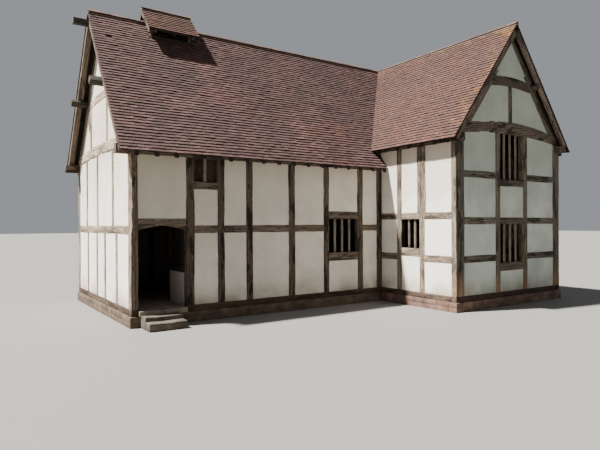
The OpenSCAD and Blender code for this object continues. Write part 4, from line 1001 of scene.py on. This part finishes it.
def peg_places(node, normal):
    """Two pegs beyond each end of every rail that shows a long level face."""
    spots = []
    for part in cad_islands(node):
        low, high = box_of(part)
        part.free()
        face = [high[i] if normal[i] > 0 else low[i] for i in range(3)]
        run = 0 if abs(normal.y) > 0.5 else 1
        if high[run] - low[run] < LEAST_RAIL or high.z - low.z > DEEPEST_RAIL:
            continue
        for end in (low[run] - PEG_INSET, high[run] + PEG_INSET):
            for rise in (-PEG_APART, PEG_APART):
                spot = Vector(face)
                spot[run] = end
                spot.z = (low.z + high.z) / 2 + rise
                spots.append((spot, normal))
    return spots


# the roofs
FRONT = Slope("hall_roof_front", X, HALL_GAUGE)
REAR = Slope("hall_roof_rear", -X, HALL_GAUGE)
LEFT = Slope("wing_roof_left", -Y, WING_GAUGE)
RIGHT = Slope("wing_roof_right", Y, WING_GAUGE)
LOUVRE_FRONT = Slope("louvre_roof", X, HALL_GAUGE)
LOUVRE_REAR = Slope("louvre_roof", -X, HALL_GAUGE)

curb_low, curb_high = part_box("louvre_curb")
wall_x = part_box("wing_side_posts")[0].x
APEX = Vector((RIGHT.spot(0, RIGHT.height).x, FRONT.spot(0, FRONT.height).y,
               FRONT.spot(0, FRONT.height).z))
hall_run, wing_run = (s.height * math.cos(s.pitch) for s in (FRONT, RIGHT))
valley_run = math.tan(LEFT.pitch) / math.tan(FRONT.pitch)
valley_foot = hall_run - valley_run * wing_run
# tiles are laid this far past the valley and the wing's wall, and then cut
VALLEY_LAP, WALL_LAP, WALL_GAP = 0.3, 0.08, 0.003
# they keep clear of the louvre's curb, along and across the ridge
CURB_CLEAR = (0.02, 0.08)
TUCKED_SHORT, RIDGE_SHORT, VERGE_SHORT = 0.02, 0.05, 0.02
# how far lichen reaches from the wing's front verge, and down from its ridge
AGED_VERGE, AGED_RIDGE = 0.9, 0.6
HALL_WEAR = {"missing": {(40, 2)}, "broken": {(39, 2), (39, 3), (38, 2)},
             "warm": ((1.32, 5.14), (1.88, 1.70), (2.80, 3.68), (5.39, 1.40))}


def past_valley(spot):
    """How far a place lies on the wing's side of the nearer valley."""
    back = valley_run * (APEX.x - spot.x)
    return (abs(spot.y - APEX.y) - back) / math.hypot(1, valley_run)


def under_louvre(spot):
    return all(curb_low[i] - clear < spot[i] < curb_high[i] + clear
               for i, clear in enumerate(CURB_CLEAR))


def tucked(spot):
    """True for the hall's lowest courses, which run on under the wing's eaves."""
    return hall_run - abs(spot.y - APEX.y) < valley_foot - TUCKED_SHORT


def hall_open(spot):
    return not tucked(spot) and not under_louvre(spot) and past_valley(spot) < VALLEY_LAP


def hall_tucked(spot):
    return tucked(spot) and spot.x < wall_x + WALL_LAP


def wing_fore(spot):
    return past_valley(spot) > -VALLEY_LAP and spot.y < APEX.y


def wing_back(spot):
    return past_valley(spot) > -VALLEY_LAP and spot.y >= APEX.y


def anywhere(spot):
    return True


def near_verge(spot):
    """Lichen grows thickest at the wing's front verge and along its ridge."""
    return (max(0.0, 1 - (spot.y - RIGHT.corner.y) / AGED_VERGE)
            + max(0.0, 1 - (APEX.z - spot.z) / AGED_RIDGE))


def all_over(spot):
    return 0.6


def valley_plane(side, way):
    """Through the apex and down one valley: side -1 is the front one, way 1 keeps the hall."""
    return APEX, Vector((valley_run, side, 0)).normalized() * way


WALL_FACE = (Vector((wall_x - WALL_GAP, 0, 0)), X)
for name, slope, material, keep, planes, extra in (
        ("hall_front", FRONT, TILE_HALL, hall_open, [(APEX, Y), valley_plane(-1, 1)], HALL_WEAR),
        ("hall_front_foot", FRONT, TILE_HALL, hall_tucked, [WALL_FACE], {}),
        ("hall_rear", REAR, TILE_HALL, hall_open, [(APEX, -Y), valley_plane(1, 1)], {}),
        ("hall_rear_foot", REAR, TILE_HALL, hall_tucked, [WALL_FACE], {}),
        ("wing_left", LEFT, TILE_WING, wing_fore, [(APEX, X), valley_plane(-1, -1)],
         {"age": near_verge}),
        ("wing_left_rear", LEFT, TILE_WING, wing_back, [(APEX, X), valley_plane(1, -1)], {}),
        ("wing_right", RIGHT, TILE_WING, anywhere, [(APEX, -X)], {"age": near_verge}),
        ("louvre_front", LOUVRE_FRONT, TILE_WING, anywhere, [(APEX, Y)], {"age": all_over}),
        ("louvre_rear", LOUVRE_REAR, TILE_WING, anywhere, [(APEX, -Y)], {"age": all_over})):
    piece = tiles("tiles_" + name, slope, material, keep, len(name), **extra)
    trim(piece, *planes)
    place(piece, slope.node)
for slope in (FRONT, REAR, LEFT, RIGHT):
    under_sheet(slope.node, slope)
under_sheet(LOUVRE_FRONT.node)

louvre_top = LOUVRE_FRONT.spot(0, LOUVRE_FRONT.height)
for name, start, end, pitch, node in (
        ("ridge_hall_left", FRONT.spot(0, FRONT.height), Vector((curb_low.x, APEX.y, APEX.z)),
         FRONT.pitch, "ridge_tiles"),
        ("ridge_hall", Vector((curb_high.x, APEX.y, APEX.z)), APEX - X * RIDGE_SHORT,
         FRONT.pitch, "ridge_tiles"),
        ("ridge_wing", RIGHT.spot(0, RIGHT.height), RIGHT.spot(RIGHT.length, RIGHT.height),
         RIGHT.pitch, "ridge_tiles"),
        ("ridge_louvre", louvre_top, louvre_top + X * LOUVRE_FRONT.length, LOUVRE_FRONT.pitch,
         "louvre_ridge_tiles")):
    for piece in ridge(name, start, end, pitch):
        place(piece, node)

VERGE_BED = [(0.002, -0.040), (0.03, -0.040), (0.03, -0.024), (0.002, -0.024)]
for name, slope in (("verge_front", FRONT), ("verge_rear", REAR),
                    ("verge_louvre_front", LOUVRE_FRONT), ("verge_louvre_rear", LOUVRE_REAR)):
    at = 0.0 if slope.along.x > 0 else slope.length
    bed = swept(name, VERGE_MORTAR, VERGE_BED, slope.spot(at, VERGE_SHORT),
                slope.spot(at, slope.height - VERGE_SHORT), X, slope.normal, VERGE_ROUGH)
    place(bed, slope.node)


# walls
def plinth_stone(low, high):
    """The wing stands on redder stone along its front and its inner side."""
    wing_front = high.x > wall_x + 0.5 and low.y < -1
    wing_side = low.x > wall_x - 0.1 and high.y < 1
    return WING_STONE if wing_front or wing_side else HALL_STONE


timbers("hall_front_posts", OAK, 0.016, Y, 0.006)
timbers("hall_front_rails", OAK_RAIL, 0.010, Y)
timbers("door_head", OAK_RAIL, 0.003, Y)
# the sunlit gable: oak with more painted sunlight on the faces turned to the sun
timbers("hall_gable_posts", OAK_BLEACHED_AND_LIT, 0.014, X, 0.014, wane=(2.3, 4.2))
timbers("hall_gable_rails", OAK_BLEACHED_AND_LIT, 0.010, X)
timbers("rear_posts", OAK, 0.014, Y, 0.006)
timbers("rear_rails", OAK, 0.009, Y)
timbers("wing_side_posts", OAK_SIDE, 0.012, X, 0.005)
timbers("wing_side_rails", OAK_SIDE, 0.010, X)
timbers("wing_front_posts", OAK_WING, 0.013, Y, 0.004)
timbers("wing_front_rails", OAK_WING, 0.011, Y)
timbers("sill_beams", OAK_SILL, 0.006)
timbers("wall_plates", OAK, 0.005)
timbers("inner_posts", OAK_INSIDE, 0.006, X)
timbers("window_mullions", OAK_MULLION, 0.002, arris=0.003)
timbers("upper_shutter", OAK_SILL, 0.002, Y)
timbers("screen_frame", OAK_INSIDE, 0.005, X)
timbers("wing_floor_beams", OAK_INSIDE, 0.005)
timbers("wing_floor_joists", OAK_INSIDE, 0.004)
timbers("tie_beams", OAK_BEAM, 0.020)
timbers("collar_beams", OAK_BEAM, 0.018)
timbers("principal_rafters", OAK_WING, 0.007)
timbers("purlins", OAK_END, 0.006)
timbers("ridge_beams", OAK_END, 0.005)
timbers("common_rafters", OAK_INSIDE, 0.003)
timbers("valley_rafters", OAK_INSIDE, 0.003)
timbers("barge_rafters", OAK_RAIL, 0.005)
# the curb takes the dark inside oak, as painted shade under the louvre
timbers("louvre_curb", OAK_INSIDE, 0.002)
timbers("louvre_frame", OAK, 0.002)
boards("wing_floor_boards", OAK_INSIDE, 0, 0.24)
# the hall front takes the limewash painted in shade
plaster("hall_front_panels", LIMEWASH_HALL, -Y)
plaster("hall_gable_panels", LIMEWASH, -X)
plaster("rear_panels", LIMEWASH, Y)
plaster("wing_side_panels", LIMEWASH, -X)
# the wing's front takes limewash with a green cast of painted shade
plaster("wing_front_panels", LIMEWASH_WING, -Y)
masonry("plinth", plinth_stone)
worn_blocks("door_steps", STEP_STONE, 0.014)
# the threshold is painted pale, as painted light in the doorway
worn_blocks("threshold", THRESHOLD_STONE, 0.008)
# the screen is painted dark as shade, the earth floor pale as painted light
for node, material in (("screen_panel", LIMEWASH_DARK), ("ground_floor", EARTH)):
    NODES[node].material_slots[0].material = material

PEG = peg_mesh()
pegs = []
for node, normal in (("hall_front_rails", -Y), ("wing_front_rails", -Y), ("hall_gable_rails", -X),
                     ("rear_rails", Y)):
    pegs += peg_places(node, normal)
# only the wing's left wall faces that way
pegs += [(s, n) for s, n in peg_places("wing_side_rails", -X) if s.x < wall_x + 1]
rng = random.Random(3)
peg_poses = [Matrix.Translation(spot + normal * rng.uniform(-PEG_SUNK, 0.0))
             @ (-normal).to_track_quat("Y", "Z").to_matrix().to_4x4()
             @ Matrix.Rotation(rng.uniform(0, 3), 4, "Y") for spot, normal in pegs]
peg_piece = scatter("oak_pegs", PEG, peg_poses, OAK, tone=[rng.random() for _ in pegs])
place(peg_piece, "hall_front_posts", replaces=False)

# studio floor
FLOOR_REACH = 150
floor_mesh = bpy.data.meshes.new("studio_floor")
floor_mesh.from_pydata([(x * FLOOR_REACH, y * FLOOR_REACH, 0)
                        for x, y in ((-1, -1), (1, -1), (1, 1), (-1, 1))], [], [(0, 1, 2, 3)])
floor_material, floor_tree = start_material("pale studio floor")
floor_shader = add(floor_tree, "ShaderNodeBsdfPrincipled", {
    "Base Color": "73716e", "Roughness": 0.9})
add(floor_tree, "ShaderNodeOutputMaterial", {"Surface": floor_shader})
floor_mesh.materials.append(floor_material)
floor = show("studio_floor", floor_mesh)
